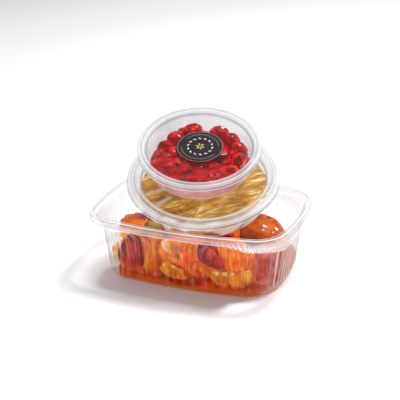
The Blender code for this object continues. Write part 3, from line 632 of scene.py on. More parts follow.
def kept(piece):
    """Turns what a piece's modifiers make of it into its own plain mesh."""
    bpy.context.view_layer.update()
    made = bpy.data.meshes.new_from_object(piece.evaluated_get(bpy.context.evaluated_depsgraph_get()))
    piece.modifiers.clear()
    piece.data = made
    made.name = piece.name
    return made


def bulk(mesh):
    """A closed mesh's volume and its area."""
    bm = bmesh.new()
    bm.from_mesh(mesh)
    volume, area = bm.calc_volume(), sum(face.calc_area() for face in bm.faces)
    bm.free()
    return volume, area


def push_out(mesh, height_at):
    """Moves each point along its normal by the height that a rule gives for its place."""
    count = len(mesh.vertices)
    places, normals = np.zeros(count * 3), np.zeros(count * 3)
    mesh.vertices.foreach_get("co", places)
    mesh.vertices.foreach_get("normal", normals)
    places, normals = places.reshape(-1, 3), normals.reshape(-1, 3)
    middle = (places.min(0) + places.max(0)) / 2
    raised = np.array([height_at(Vector(place - middle)) for place in places])
    mesh.vertices.foreach_set("co", (places + normals * raised[:, None]).ravel())
    mesh.update()


def remeshed(piece, voxel, rounds):
    """An even skin over a piece, its edges rounded off by so many rounds of smoothing."""
    remesh = piece.modifiers.new("even skin", "REMESH")
    remesh.mode = "VOXEL"
    remesh.voxel_size = voxel
    smooth = piece.modifiers.new("soft edges", "SMOOTH")
    smooth.factor = 0.5
    smooth.iterations = rounds
    return kept(piece)


def wall_reach():
    """How far from the middle the tray's inner wall stands: a table by height and by angle."""
    table = []
    for height in np.linspace(0.0, TRAY_HEIGHT, REACH_ROWS + 1):
        sunk = min(max(1 - (height - TRAY_WALL) / (WALL_FOOT - TRAY_WALL), 0.0), 1.0)
        inset = INSIDE_FLUTES + FOOT_CHAMFER * (1 - math.sqrt(1 - sunk * sunk))
        x, y = wall_level(max(height, TRAY_WALL), inset).T
        angles = np.arctan2(y, x)
        order = np.argsort(angles)
        table.append(np.interp(np.linspace(-math.pi, math.pi, REACH_COLUMNS + 1), angles[order],
                               np.hypot(x, y)[order], period=2 * math.pi))
    return np.array(table)


WALL_REACH = wall_reach()


def press_to_wall(mesh):
    """What would stick through the tray's wall is pressed flat against it."""
    co = np.zeros(len(mesh.vertices) * 3)
    mesh.vertices.foreach_get("co", co)
    co = co.reshape(-1, 3)
    rows = np.clip(np.rint(co[:, 2] / TRAY_HEIGHT * REACH_ROWS), 0, REACH_ROWS).astype(int)
    angles = np.arctan2(co[:, 1], co[:, 0]) + math.pi
    columns = np.rint(angles / math.pi * (REACH_COLUMNS / 2)).astype(int)
    reach = np.hypot(co[:, 0], co[:, 1])
    room = np.where(co[:, 2] < TRAY_HEIGHT, WALL_REACH[rows, columns], 1.0)
    co[:, :2] *= np.minimum(1.0, room / np.maximum(reach, 1e-6))[:, None]
    mesh.vertices.foreach_set("co", co.ravel())
    mesh.update()


SETTLED = {          # how soft fruit has slumped: where each place has gone, in millimetres
    "pumpkin_chunk": lambda x, y, z: (-40 + 0.94 * (x + 40), y + 0.25 * max(0, 37 - z),
                                      max(min(z, 40 + 0.8 * (z - 40)), 0.35 * z + 24)),
    "apricot_corner": lambda x, y, z: (x + 1 + 0.55 * max(0, 19.5 - 0.93 * z), y, 1.6 + 0.93 * z),
    "green_fig": lambda x, y, z: (-23.5 + 0.75 * (x + 20.5), y + 2,
                                  42.5 + 0.6 * (z - 40.8) - 0.2 * (x + 20.5)),
    "mauve_plum": lambda x, y, z: (x - 1, y, 20 + 1.12 * (z - 22)),
    "apricot_side": lambda x, y, z: (x, y, z + 0.12 * (z - 3)),
}
PRESSED = {          # pieces that lie flat on the clear front wall, drawn anew and not from their nodes: how
                     # far back each one reaches, and its outline there, both in millimetres
    "fig_front": (-27, (
        (-52, 19.5), (-50, 26), (-44, 34), (-39, 38.5), (-33, 40), (-28.5, 37), (-27, 31),
        (-27.5, 20), (-29, 8), (-34, 5), (-46, 5), (-50, 11))),
    "pear_slice": (-29, (
        (-27, 41), (-14, 41), (-15, 30), (-13.5, 20), (-17, 10), (-20, 5), (-30, 5), (-32, 11),
        (-28, 17), (-26.5, 28))),
    "peach_half": (-20, (
        (-14, 41), (17.5, 41), (15.5, 34), (14, 28), (9, 24), (8, 20), (1, 20.5), (-6, 24),
        (-12.5, 22.5), (-14.5, 30))),
    "citrus_slices": (-24, (
        (-16, 16), (-14, 20.5), (-8, 22.5), (0, 19.5), (6, 17.5), (11.5, 14), (6, 9.5), (-3, 8),
        (-12, 10.5))),
    "kumquat": (-37, (
        (9.5, 22), (12, 27), (17, 27.5), (22, 24), (23, 19), (20.5, 13.5), (14, 12.5), (10, 16))),
    "plum_wedge": (-34, (
        (17.5, 43), (31, 43), (32.5, 35), (35.5, 23.5), (29, 23), (22, 25.5), (16.5, 28.5),
        (15.5, 36))),
    "apricot_front": (-30, (
        (31, 42), (31.5, 48), (44, 48), (50, 43), (51, 36), (48.5, 28), (45.5, 22), (42.5, 22),
        (38, 29), (33.5, 35))),
    "citrus_half_slice": (-22, (
        (24, 20.5), (32, 20), (46, 21), (53, 22.5), (55.5, 19), (54.5, 13), (50.5, 8.5), (44, 5.5),
        (34, 5.5), (27, 9.5), (23.5, 15))),
}


def front_wall(x, z):
    """Where the inside of the tray's front wall stands at a place."""
    outline = wall_level(max(z, TRAY_WALL), INSIDE_FLUTES)
    front = outline[outline[:, 1] < 0]
    order = np.argsort(front[:, 0])
    return float(np.interp(x, front[order, 0], front[order, 1]))


def pressed_piece(back, outline):
    """A cut piece: its outline rounded off, flat on the front wall, and narrowing as it reaches back."""
    line = np.array(outline, float) * MM
    for _ in range(2):
        following = np.roll(line, -1, axis=0)
        line = np.stack((line * 0.75 + following * 0.25, line * 0.25 + following * 0.75), 1).reshape(-1, 2)
    middle = line.mean(0)
    vertices, faces = [], []
    for size, in_front, share in ((0.84, 0.8, 0.0), (0.96, -0.6, 0.0), (1.0, -2.0, 0.0), (0.98, 0.0, 0.45),
                                  (0.86, 0.0, 0.85), (0.6, 0.0, 1.0)):
        for x, z in middle + (line - middle) * size:
            wall = front_wall(x, z)
            vertices.append((x, wall + (back * MM - wall) * share - in_front * MM, z - 6.0 * MM * share))
    count = len(line)
    for row in range(5):
        for i in range(count):
            j = (i + 1) % count
            faces.append((row * count + i, row * count + j, (row + 1) * count + j, (row + 1) * count + i))
    faces += [tuple(range(count))[::-1], tuple(range(5 * count, 6 * count))]
    mesh = bpy.data.meshes.new("pressed piece")
    mesh.from_pydata(vertices, [], faces)
    bm = bmesh.new()
    bm.from_mesh(mesh)
    bmesh.ops.recalc_face_normals(bm, faces=bm.faces)
    bm.to_mesh(mesh)
    bm.free()
    return mesh


def soft_fruit(node, finish, voxel, rounds, relief):
    """One fruit that stands for its node: edges rounded, flesh swollen back, then its skin's relief. Those in
    PRESSED don't keep their node's form. They and those in SETTLED lie off their nodes, by up to 9.3 mm."""
    mesh = pressed_piece(*PRESSED[node]) if node in PRESSED else welded(node)
    for vertex in mesh.vertices if node in SETTLED else ():
        vertex.co = Vector(SETTLED[node](*(vertex.co / MM))) * MM
    volume, _ = bulk(mesh)
    piece = bpy.data.objects.new(f"{node}_fruit", mesh)
    bpy.context.scene.collection.objects.link(piece)
    mesh = remeshed(piece, voxel, rounds)
    left, area = bulk(mesh)
    swell = min((volume - left) / area + 0.15 * MM, 0.8 * MM)
    push_out(mesh, lambda place: swell + relief(place))
    press_to_wall(mesh)
    mesh.materials.clear()
    mesh.materials.append(finish)
    mesh.shade_smooth()
    return piece


def lumps(size, height, seed):
    """Relief in soft lumps of one size."""
    return lambda p: height * noise.noise(p / size + Vector((seed, 0.0, 0.0)))


def wrinkles(size, height, seed):
    """Relief in sharp creases between soft folds."""
    def relief(p):
        fold = noise.noise(p / size + Vector((0.0, seed, 0.0)))
        return height * (1 - 2.2 * (1 - min(abs(fold) * 4, 1.0)) * 0.5) + lumps(size * 2.5, height, seed)(p)
    return relief


def fruit_flesh(name, dark, mid, bright, patch=90.0, wet=0.20, glow=0.5, bump=0.15, bump_scale=500.0,
                stretch=(1.0, 1.0, 1.0), turn=(0.0, 0.0, 0.0), fleck=0.0, spots=(), veins=0.45, film=0.5,
                coat=0.25):
    """Glassy flesh under a film of syrup: patches of three colours, light carried inside, a faint painted
    glow in the same colours, and a wet coat. Each spot is a colour, its middle in millimetres and its radius
    there."""
    finish, tree, output = new_finish(name)
    blotch = grain(tree, patch, 4.0, stretch, turn, 0.6)
    vein = calc(tree, "SUBTRACT", grain(tree, 480.0, 3.0, (1.0, 1.0, 0.22)), 0.5)
    blotch = calc(tree, "MULTIPLY_ADD", vein, veins, blotch)
    colour = ramp(tree, blotch, (0.32, dark), (0.5, mid), (0.68, bright))
    place = put(tree, "ShaderNodeTexCoord").outputs["Object"]
    for tone, middle, radius in spots:
        away = put(tree, "ShaderNodeVectorMath", {0: place, 1: [v * MM for v in middle]},
                   operation="DISTANCE").outputs["Value"]
        rough_away = calc(tree, "MULTIPLY_ADD", calc(tree, "SUBTRACT", blotch, 0.5), 10.0 * MM, away)
        share = put(tree, "ShaderNodeMapRange", {"Value": rough_away, "From Min": radius * 1.1 * MM,
                                                 "From Max": radius * 0.3 * MM}).outputs[0]
        colour = put(tree, "ShaderNodeMix", {0: share, 6: colour, 7: (*tone, 1.0)},
                     data_type="RGBA").outputs[2]
    if fleck:
        fleck_share = calc(tree, "MULTIPLY", calc(tree, "GREATER_THAN", grain(tree, 900.0, 1.0), 0.64), fleck)
        colour = put(tree, "ShaderNodeMix", {0: fleck_share, 6: colour, 7: (*dark, 1.0)},
                     data_type="RGBA").outputs[2]
    skin = put(tree, "ShaderNodeBump", {"Height": grain(tree, bump_scale, 3.0, stretch, turn),
                                        "Strength": bump, "Distance": 0.0006}).outputs["Normal"]
    wet_film = put(tree, "ShaderNodeBump", {"Height": grain(tree, 420.0, 3.0), "Strength": film,
                                            "Distance": 0.001}).outputs["Normal"]
    gloss = calc(tree, "MULTIPLY_ADD", grain(tree, 220.0, 2.0), 0.25, wet - 0.1)
    # The emission in the flesh's own colours is a painted glow.
    shader = put(tree, "ShaderNodeBsdfPrincipled",
                 {"Base Color": colour, "Roughness": gloss, "Normal": skin, "Specular IOR Level": 0.05,
                  "Emission Color": colour, "Emission Strength": 0.11, "Subsurface Weight": glow,
                  "Subsurface Radius": (1.0, 0.35, 0.12), "Subsurface Scale": 0.005,
                  "Coat Weight": coat, "Coat Roughness": 0.04, "Coat Normal": wet_film})
    tree.links.new(shader.outputs[0], output.inputs["Surface"])
    return finish


# The mandarins' first spot is painted shade: darker brown low on the left of the front mandarin.
mandarin_finish = fruit_flesh("candied mandarin rind", (0.26, 0.03, 0.004), (0.42, 0.07, 0.006),
                              (0.58, 0.13, 0.012), bump=0.35, bump_scale=700.0, fleck=0.25, veins=0.1,
                              film=0.10, coat=0.6,
                              spots=(((0.20, 0.045, 0.03), (33.0, -12.0, 27.0), 18.0),
                                     ((0.72, 0.20, 0.05), (51.5, 7.5, 43.2), 4.5),
                                     ((0.07, 0.03, 0.02), (51.5, 7.5, 43.2), 3.0)))
pumpkin_finish = fruit_flesh("candied pumpkin", (0.72, 0.14, 0.003), (0.95, 0.28, 0.004), (1.0, 0.44, 0.012),
                             stretch=(1.0, 1.0, 0.18),
                             spots=(((0.56, 0.08, 0.010), (-40.0, -34.0, 54.0), 19.0),
                                    ((0.90, 0.05, 0.006), (-35.0, -46.0, 48.2), 6.0),
                                    ((0.90, 0.05, 0.006), (-43.5, -45.5, 47.2), 6.0),
                                    ((0.16, 0.04, 0.09), (-33.5, -31.0, 47.5), 7.5)))
fig_finish = fruit_flesh("candied fig", (0.16, 0.006, 0.010), (0.38, 0.012, 0.012), (0.66, 0.05, 0.016),
                         coat=0.2,
                         stretch=(1.0, 1.0, 0.3), spots=(((0.08, 0.010, 0.035), (-50.0, -44.0, 30.0), 10.5),
                                                         ((0.08, 0.010, 0.035), (-41.0, -47.0, 39.0), 8.0),
                                                         ((0.66, 0.09, 0.006), (-46.0, -45.0, 7.0), 9.5),
                                                         ((0.58, 0.07, 0.006), (-34.0, -47.0, 7.0), 9.5),
                                                         ((0.06, 0.015, 0.016), (20.0, 18.0, 58.0), 16.0)))
apricot_finish = fruit_flesh("candied apricot", (0.68, 0.10, 0.004), (0.92, 0.21, 0.006), (1.0, 0.34, 0.012),
                             spots=(((0.95, 0.06, 0.006), (37.0, -42.0, 49.0), 11.0),))
golden_finish = fruit_flesh("golden apricot", (0.90, 0.28, 0.010), (1.0, 0.42, 0.02), (1.0, 0.58, 0.06),
                            spots=(((0.95, 0.22, 0.010), (-54.0, -42.0, 9.0), 8.0),))
amber_finish = fruit_flesh("amber apricot", (0.40, 0.06, 0.004), (0.62, 0.12, 0.006), (0.86, 0.26, 0.015))
green_finish = fruit_flesh("candied green fig", (0.16, 0.11, 0.02), (0.28, 0.20, 0.04), (0.42, 0.28, 0.06),
                           spots=(((0.85, 0.22, 0.012), (-20.0, -46.0, 34.0), 10.0),
                                  ((0.16, 0.03, 0.06), (-31.0, -40.0, 46.0), 6.0)))
plum_finish = fruit_flesh("candied plum", (0.15, 0.006, 0.010), (0.36, 0.012, 0.015), (0.64, 0.07, 0.035),
                          patch=150.0, coat=0.2)
mauve_finish = fruit_flesh("mauve plum", (0.34, 0.04, 0.045), (0.50, 0.08, 0.075), (0.66, 0.16, 0.11),
                           veins=0.15,
                           spots=(((0.24, 0.04, 0.07), (56.0, -42.0, 38.0), 9.0),
                                  ((0.66, 0.20, 0.08), (63.0, -34.0, 6.0), 9.0)))
peach_finish = fruit_flesh("candied peach", (0.66, 0.10, 0.008), (0.88, 0.19, 0.015), (1.0, 0.36, 0.06),
                           patch=110.0, glow=0.7,
                           spots=(((0.50, 0.11, 0.018), (-0.5, -50.0, 35.0), 5.0),
                                  ((0.42, 0.07, 0.012), (1.0, -50.0, 29.0), 5.0),
                                  ((1.0, 0.62, 0.42), (-7.5, -50.5, 39.0), 3.2),
                                  ((1.0, 0.58, 0.36), (-8.0, -50.5, 35.0), 3.0),
                                  ((0.85, 0.10, 0.010), (11.0, -50.0, 27.0), 5.0)))
pear_finish = fruit_flesh("candied pear", (0.40, 0.05, 0.004), (0.64, 0.13, 0.008), (0.90, 0.30, 0.02),
                          patch=150.0, stretch=(1.0, 1.0, 0.35))
citrus_finish = fruit_flesh("candied citrus slice", (0.42, 0.08, 0.004), (0.66, 0.18, 0.005),
                            (0.94, 0.38, 0.02),
                            patch=150.0, stretch=(1.0, 0.3, 0.6),
                            spots=(((1.0, 0.70, 0.16), (30.0, -48.0, 20.0), 2.6),
                                   ((1.0, 0.72, 0.18), (36.0, -47.5, 20.3), 2.6),
                                   ((1.0, 0.70, 0.16), (42.0, -46.5, 20.6), 2.6),
                                   ((0.80, 0.42, 0.04), (52.0, -43.0, 18.0), 5.5),
                                   ((0.95, 0.50, 0.10), (-11.0, -49.5, 19.5), 2.6),
                                   ((0.95, 0.45, 0.06), (-3.0, -49.5, 20.0), 2.2)))
kumquat_finish = fruit_flesh("candied kumquat", (0.44, 0.04, 0.003), (0.66, 0.09, 0.004), (0.95, 0.24, 0.01),
                             patch=170.0)

rind = lumps(6 * MM, 0.45 * MM, 3.0)
folds = wrinkles(4 * MM, 0.6 * MM, 8.0)
soft = wrinkles(6 * MM, 0.55 * MM, 5.0)
fibres = lumps(3.0 * MM, 0.35 * MM, 1.0)
FRUIT = (            # node, finish, slot, voxel, rounds of smoothing, relief
    ("mandarin_front", mandarin_finish, "mandarin_skin", FINE, 60, rind),
    ("pumpkin_chunk", pumpkin_finish, "pumpkin_flesh", FINE, 14, fibres),
    ("fig_front", fig_finish, "fig_skin", FINE, 8, folds),
    ("apricot_corner", golden_finish, "apricot_flesh", FINE, 8, soft),
    ("green_fig", green_finish, "green_fig_skin", FINE, 12, folds),
    ("prune_top", plum_finish, "plum_skin", FINE, 8, folds),
    ("peach_half", peach_finish, "peach_flesh", FINE, 4, soft),
    ("pear_slice", pear_finish, "pear_flesh", FINE, 5, soft),
    ("citrus_slices", citrus_finish, "citrus_flesh", FINE, 5, fibres),
    ("kumquat", kumquat_finish, "kumquat_skin", FINE, 12, soft),
    ("plum_wedge", plum_finish, "plum_skin", FINE, 6, folds),
    ("apricot_front", apricot_finish, "apricot_flesh", FINE, 10, soft),
    ("citrus_half_slice", citrus_finish, "citrus_flesh", FINE, 5, fibres),
    ("mauve_plum", mauve_finish, "plum_skin", FINE, 20, rind),
    ("apricot_side", amber_finish, "apricot_flesh", FINE, 14, soft),
    ("mandarin_left", mandarin_finish, "mandarin_skin", FINE, 30, rind),
    ("mandarin_back", mandarin_finish, "mandarin_skin", COARSE, 20, rind),
    ("plum_back", plum_finish, "plum_skin", COARSE, 16, folds),
    ("pear_back", pear_finish, "pear_flesh", COARSE, 16, soft),
    ("apricot_back", apricot_finish, "apricot_flesh", COARSE, 16, soft),
    ("peach_under", peach_finish, "peach_flesh", COARSE, 16, soft),
    ("plum_under", plum_finish, "plum_skin", COARSE, 16, folds),
    ("apricot_top_left", apricot_finish, "apricot_flesh", FINE, 20, soft),
    ("mandarin_top_back", mandarin_finish, "mandarin_skin", FINE, 24, rind),
    ("fig_top_right", fig_finish, "fig_skin", FINE, 20, folds),
)
for node, finish, slot, voxel, rounds, relief in FRUIT:
    fruit = soft_fruit(node, finish, voxel, rounds, relief)
    stand_for(fruit, slot, node)


# The syrup that clings between the fruit: it is thick, so it stays in the gaps where pieces touch. Its orange
# glow, for light that comes to it through the fruit, is painted in as a faint emission.
CLING_REACH, CLING_SINK = 3.2 * MM, 3.6 * MM

cling_finish, cling_tree, cling_output = new_finish("clinging syrup")
cling_cloud = grain(cling_tree, 110.0, 5.0, (1.0, 1.0, 0.45))
cling_colour = ramp(cling_tree, cling_cloud, (0.34, (0.30, 0.025, 0.003)), (0.48, (0.66, 0.10, 0.005)),
                    (0.58, (0.90, 0.20, 0.008)), (0.70, (1.0, 0.38, 0.02)))
cling_skin = put(cling_tree, "ShaderNodeBump", {"Height": grain(cling_tree, 260.0, 3.0), "Strength": 0.4,
                                                "Distance": 0.001}).outputs["Normal"]
# Its emission is a painted orange glow.
cling_shader = put(cling_tree, "ShaderNodeBsdfPrincipled",
                   {"Base Color": cling_colour,
                    "Roughness": calc(cling_tree, "MULTIPLY_ADD", cling_cloud, 0.2, 0.0),
                    "Normal": cling_skin, "Subsurface Weight": 0.7, "Subsurface Radius": (1.0, 0.3, 0.08),
                    "Subsurface Scale": 0.005, "Specular IOR Level": 0.4,
                    "Emission Color": (1.0, 0.20, 0.01, 1.0), "Emission Strength": 0.10})
cling_tree.links.new(cling_shader.outputs[0], cling_output.inputs["Surface"])

cling_bm = bmesh.new()
for node, *_ in FRUIT:
    cling_bm.from_mesh(bpy.data.objects[f"{node}_fruit"].data)
cling_mesh = bpy.data.meshes.new("clinging_syrup")
cling_bm.to_mesh(cling_mesh)
cling_bm.free()
cling = bpy.data.objects.new("clinging_syrup", cling_mesh)
bpy.context.scene.collection.objects.link(cling)
push_out(remeshed(cling, 1.1 * MM, 4), lambda place: CLING_REACH)
push_out(remeshed(cling, 1.2 * MM, 6), lambda place: -CLING_SINK)
cling_mesh = remeshed(cling, 1.1 * MM, 4)
press_to_wall(cling_mesh)
cling_mesh.materials.clear()
cling_mesh.materials.append(cling_finish)
cling_mesh.shade_smooth()
stand_for(cling, "syrup")


# The lower tub: a round cup of clear polypropylene, moulded thin and a little milky, with peel inside. It
# leans on the fruit. Its lid is the same plastic, with a sunk panel, and snaps over the cup's flange.
TURN_STEPS = 160
TUB_WALL, CUP_FLOOR = 0.6 * MM, 1.3 * MM            # the plastic, and how high the contents start
RECESS_DEPTH, RECESS_SLOPE = 3.2 * MM, 1.2 * MM
LID_SKIRT, LID_EDGE = 4.0 * MM, 1.5 * MM


def tub_stand(node):
    """The place of a turned node: its foot's centre, +Z along its axis, +X as near the tray's as it goes."""
    co = np.unique(np.array([v.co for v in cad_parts[node].data.vertices]).round(6), axis=0)
    middle = co.mean(0)
    axis = Vector(np.linalg.svd(co - middle, full_matrices=False)[2][2])
    axis = axis if axis.z > 0 else -axis
    low = min((Vector(p) - Vector(middle)).dot(axis) for p in co)
    across = (Vector((1, 0, 0)) - axis * axis.x).normalized()
    turn = Matrix((across, axis.cross(across), axis)).transposed().to_4x4()
    return Matrix.Translation(Vector(middle) + axis * low) @ turn


def rounded(profile, steps=4):
    """A profile with its corners rounded off: each point is a radius, a height and its corner's size."""
    made = []
    for i, (r, z, corner) in enumerate(profile):
        if not corner or i in (0, len(profile) - 1):
            made.append((r, z))
            continue
        here = Vector((r, z))
        before, after = Vector(profile[i - 1][:2]) - here, Vector(profile[i + 1][:2]) - here
        cut = min(corner, before.length * 0.45, after.length * 0.45)
        start, end = here + before.normalized() * cut, here + after.normalized() * cut
        for step in range(steps + 1):
            t = step / steps
            made.append(tuple(start * (1 - t) ** 2 + here * 2 * t * (1 - t) + end * t * t))
    return made


def turned(name, profile, stand, finish, looks=None, fine=0.45 * MM, steps=TURN_STEPS):
    """A closed shell turned from a profile that starts and ends on the axis, set on its stand. Looks is a
    rule that says how hazy the plastic is, and its painted highlight and painted shade, at a radius, a height
    and an angle."""
    ring = []
    for (r0, z0), (r1, z1) in zip(profile[1:-1], profile[2:-1]):
        parts = max(1, min(24, round(math.hypot(r1 - r0, z1 - z0) / fine))) if looks else 1
        ring += [(r0 + (r1 - r0) * i / parts, z0 + (z1 - z0) * i / parts) for i in range(parts)]
    ring.append(profile[-2])
    vertices, faces = [], []
    for r, z in ring:
        vertices += [(r * math.cos(2 * math.pi * i / steps), r * math.sin(2 * math.pi * i / steps), z)
                     for i in range(steps)]
    vertices += [(0.0, 0.0, profile[0][1]), (0.0, 0.0, profile[-1][1])]
    for row in range(len(ring) - 1):
        for i in range(steps):
            j = (i + 1) % steps
            a, b = row * steps, (row + 1) * steps
            faces.append((a + j, a + i, b + i, b + j))
    last = (len(ring) - 1) * steps
    for i in range(steps):
        j = (i + 1) % steps
        faces.append((i, j, len(vertices) - 2))
        faces.append((last + j, last + i, len(vertices) - 1))
    piece = new_piece(name, vertices, faces, finish)
    if looks:
        seen = [looks(math.hypot(x, y), z, math.atan2(y, x)) for x, y, z in vertices]
        for column, label in enumerate(("haze", "streak", "bend")):
            give_attribute(piece, label, [values[column] for values in seen])
    piece.data.transform(stand)
    piece.data.update()
    return piece


def line_at(value, middle, width):
    """1 at a middle and 0 away from it."""
    return math.exp(-((value - middle) / width) ** 2)


def lid_looks(lid, recess, height):
    """The lid is clearest in its panel; its ring is hazy, with painted highlight lines and painted dark lines
    at each of its bends.
    """
    ring_in, ring_out = recess + RECESS_SLOPE, lid - LID_EDGE
    ring, foot = ring_out - ring_in, height - LID_SKIRT

    def looks(r, z, angle):
        on_skirt = r > ring_out + 0.9 * MM
        haze = step_between(recess - MM, recess + MM, r)
        scuff = line_at((angle + 2.42) * r, 0.0, 1.4 * MM) + line_at((angle + 2.08) * r, 0.0, 1.6 * MM)
        scuff *= step_between(recess - 20 * MM, recess - 12 * MM, r) * (1 - haze) * (lid > 50 * MM)
        # bright is painted highlight and dark is painted shade, in lines at the bends.
        if on_skirt:
            bright = 0.5 * line_at(z, height - 1.1 * MM, 0.4 * MM)
            bright += 0.6 * line_at(z, foot + 0.5 * MM, 0.35 * MM)
            dark = line_at(z, height - 2.0 * MM, 0.35 * MM) + 0.9 * line_at(z, foot + 1.5 * MM, 0.3 * MM)
            return 1.3, bright, dark
        bright = sum(share * line_at(r, middle, width * MM) for share, middle, width in (
            (0.35, ring_in + 0.2 * ring, 0.35), (0.4, ring_out - 0.2 * MM, 0.5),
            (0.25, ring_in + 0.8 * ring, 0.3), (0.3, recess + 0.9 * MM, 0.3)))
        dark = sum(share * line_at(r, middle, width * MM) for share, middle, width in (
            (0.9, recess + 0.3 * MM, 0.3), (0.5, ring_in + 0.5 * ring, 0.4),
            (0.5, ring_in + 0.76 * ring, 0.3)))
        return haze, bright + 0.22 * scuff, dark
    return looks


def cup_looks(foot, middle, spread, clearest, patchy):
    """The cup is milky, but clearer where what fills it lies against its wall: about an angle, across a
    spread, and only here and there if it is patchy."""
    def looks(r, z, angle):
        turned_away = abs((angle - middle + math.pi) % (2 * math.pi) - math.pi)
        patch = noise.noise(Vector((angle * 5, z * 110, 0)))
        clear_share = clearest * (1 - step_between(spread * 0.7, spread * 1.1, turned_away))
        clear_share *= step_between(-0.15, 0.0, patch) if patchy else 1.0
        on_wall = r > foot - 2.0 * MM
        # lines are faint painted highlight streaks up the wall.
        lines = 0.10 * max(0.0, noise.noise(Vector((angle * 14, 3.0, z * 30)))) if on_wall else 0.0
        return (1.0 - clear_share if on_wall else 0.6), lines, 0.0
    return looks


def lid_profile(lid, recess, height):
    """Panel, a step up to the raised ring with its stacking groove, a rounded edge, and the beaded skirt."""
    top, wall = height, TUB_WALL
    panel, foot = top - RECESS_DEPTH, top - LID_SKIRT
    ring_in, ring_out = recess + RECESS_SLOPE, lid - LID_EDGE
    ring = ring_out - ring_in
    outer = [
        (0.0, panel, 0), (recess * 0.5, panel, 0), (recess - 2.4 * MM, panel, 0.5 * MM),
        (recess - 1.6 * MM, panel - 0.25 * MM, 0.5 * MM), (recess, panel, 0.8 * MM),
        (ring_in, top - 0.35 * MM, 0.5 * MM), (ring_in + ring * 0.18, top, 0.4 * MM),
        (ring_in + ring * 0.45, top, 0.4 * MM), (ring_in + ring * 0.55, top - 0.35 * MM, 0.4 * MM),
        (ring_in + ring * 0.70, top - 0.35 * MM, 0.4 * MM), (ring_in + ring * 0.8, top, 0.4 * MM),
        (ring_out, top - 0.05 * MM, 0.8 * MM), (lid - 0.3 * MM, top - 1.5 * MM, 0.8 * MM),
        (lid - 0.35 * MM, foot + 1.5 * MM, 0.3 * MM), (lid, foot + 1.0 * MM, 0.3 * MM),
        (lid, foot, 0.25 * MM),
    ]
    inner = [
        (lid - wall, foot, 0.2 * MM), (lid - wall - 0.3 * MM, top - 1.9 * MM, 0.4 * MM),
        (ring_out - 0.4 * MM, top - wall, 0.4 * MM), (ring_in + ring * 0.2, top - wall, 0.4 * MM),
        (ring_in + 0.4 * MM, top - wall - 0.3 * MM, 0.4 * MM), (recess + wall, panel - wall, 0.6 * MM),
        (recess - 1.6 * MM, panel - wall - 0.1 * MM, 0.4 * MM), (recess * 0.5, panel - wall, 0),
        (0.0, panel - wall, 0),
    ]
    return rounded(outer + inner)


def cup_profile(foot, mouth, lid, height):
    """The cup from its outer rim edge down and round: flange, tapering wall, foot ring and raised base."""
    wall = TUB_WALL
    edge = height - wall - 0.3 * MM
    reach = lid - wall - 1.6 * MM
    return rounded([
        (0.0, wall + 0.35 * MM, 0), (foot - 6.0 * MM, wall + 0.35 * MM, 0.6 * MM),
        (foot - 4.5 * MM, wall, 0.6 * MM), (foot - 1.6 * MM, wall, 0.8 * MM),
        (foot - wall, 1.9 * MM, 0.8 * MM),
        (mouth - wall, edge - 1.0 * MM, 0.6 * MM), (mouth, edge, 0.4 * MM), (reach, edge, 0.3 * MM),
        (reach, edge - wall, 0.2 * MM), (mouth + 0.5 * MM, edge - wall, 0.4 * MM),
        (mouth, edge - 1.6 * MM, 0.5 * MM),
        (foot, 1.6 * MM, 1.0 * MM), (foot - 1.3 * MM, 0.0, 0.6 * MM), (foot - 4.0 * MM, 0.0, 0.5 * MM),
        (foot - 5.5 * MM, 0.35 * MM, 0.5 * MM), (0.0, 0.35 * MM, 0),
    ])


PEEL_LID, PEEL_RECESS, PEEL_HEIGHT = 58.5 * MM, 47.2 * MM, 21.6 * MM
PEEL_FOOT, PEEL_MOUTH = 48.0 * MM, 52.5 * MM
lid_plastic = clear_plastic("clear lid plastic", (0.955, 0.958, 0.963), (0.62, 0.64, 0.67), 0.003, 0.15,
                            0.006, 0.10)
cup_plastic = clear_plastic("milky cup plastic", (0.97, 0.97, 0.97), (0.80, 0.81, 0.82), 0.03, 0.42, 0.008,
                            0.10)
FRONT = math.radians(-75.0)         # the side of the tubs that leans on the tray's front, where all slides to
lower = tub_stand("peel_tub")
peel_cup = turned("peel_cup", cup_profile(PEEL_FOOT, PEEL_MOUTH, PEEL_LID, PEEL_HEIGHT), lower, cup_plastic,
                  cup_looks(PEEL_FOOT, FRONT, 0.85, 1.0, True))
stand_for(peel_cup, "tub_plastic", "peel_tub")
peel_lid = turned("peel_cup_lid", lid_profile(PEEL_LID, PEEL_RECESS, PEEL_HEIGHT), lower, lid_plastic,
                  lid_looks(PEEL_LID, PEEL_RECESS, PEEL_HEIGHT))
stand_for(peel_lid, "tub_plastic", "peel_lid")


# The peel: long strips of candied citron peel, soft and glassy, packed across each other until the tub is
# full. They are one heap of real strips over a core of the same peel. Its middle is 5 mm off its solid's.
STRIP_LENGTH, STRIP_WIDTH, STRIP_THICKNESS = 70.0 * MM, 15.0 * MM, 3.0 * MM
STRIP_STEPS, STRIP_SIDES = 36, 14

peel_finish, peel_tree, peel_output = new_finish("candied peel")
PEEL_LINE = 0.75                    # the strips' general direction, in radians from the tub's +X
along_strips = {"stretch": (0.22, 1.0, 1.0), "turn": (0.0, 0.0, -PEEL_LINE)}
peel_fibre = grain(peel_tree, 620.0, 3.0, (0.12, 1.0, 1.0), (0.0, 0.0, -PEEL_LINE))
peel_cloud = calc(peel_tree, "MULTIPLY_ADD", calc(peel_tree, "SUBTRACT", peel_fibre, 0.5), 0.7,
                  grain(peel_tree, 150.0, 5.0, roughness=0.6, **along_strips))
peel_colour = ramp(peel_tree, peel_cloud, (0.32, (0.32, 0.14, 0.010)), (0.46, (0.46, 0.22, 0.022)),
                   (0.60, (0.58, 0.34, 0.06)), (0.74, (0.88, 0.74, 0.48)))
peel_skin = put(peel_tree, "ShaderNodeBump",
                {"Height": peel_cloud, "Strength": 0.9, "Distance": 0.0015}).outputs["Normal"]
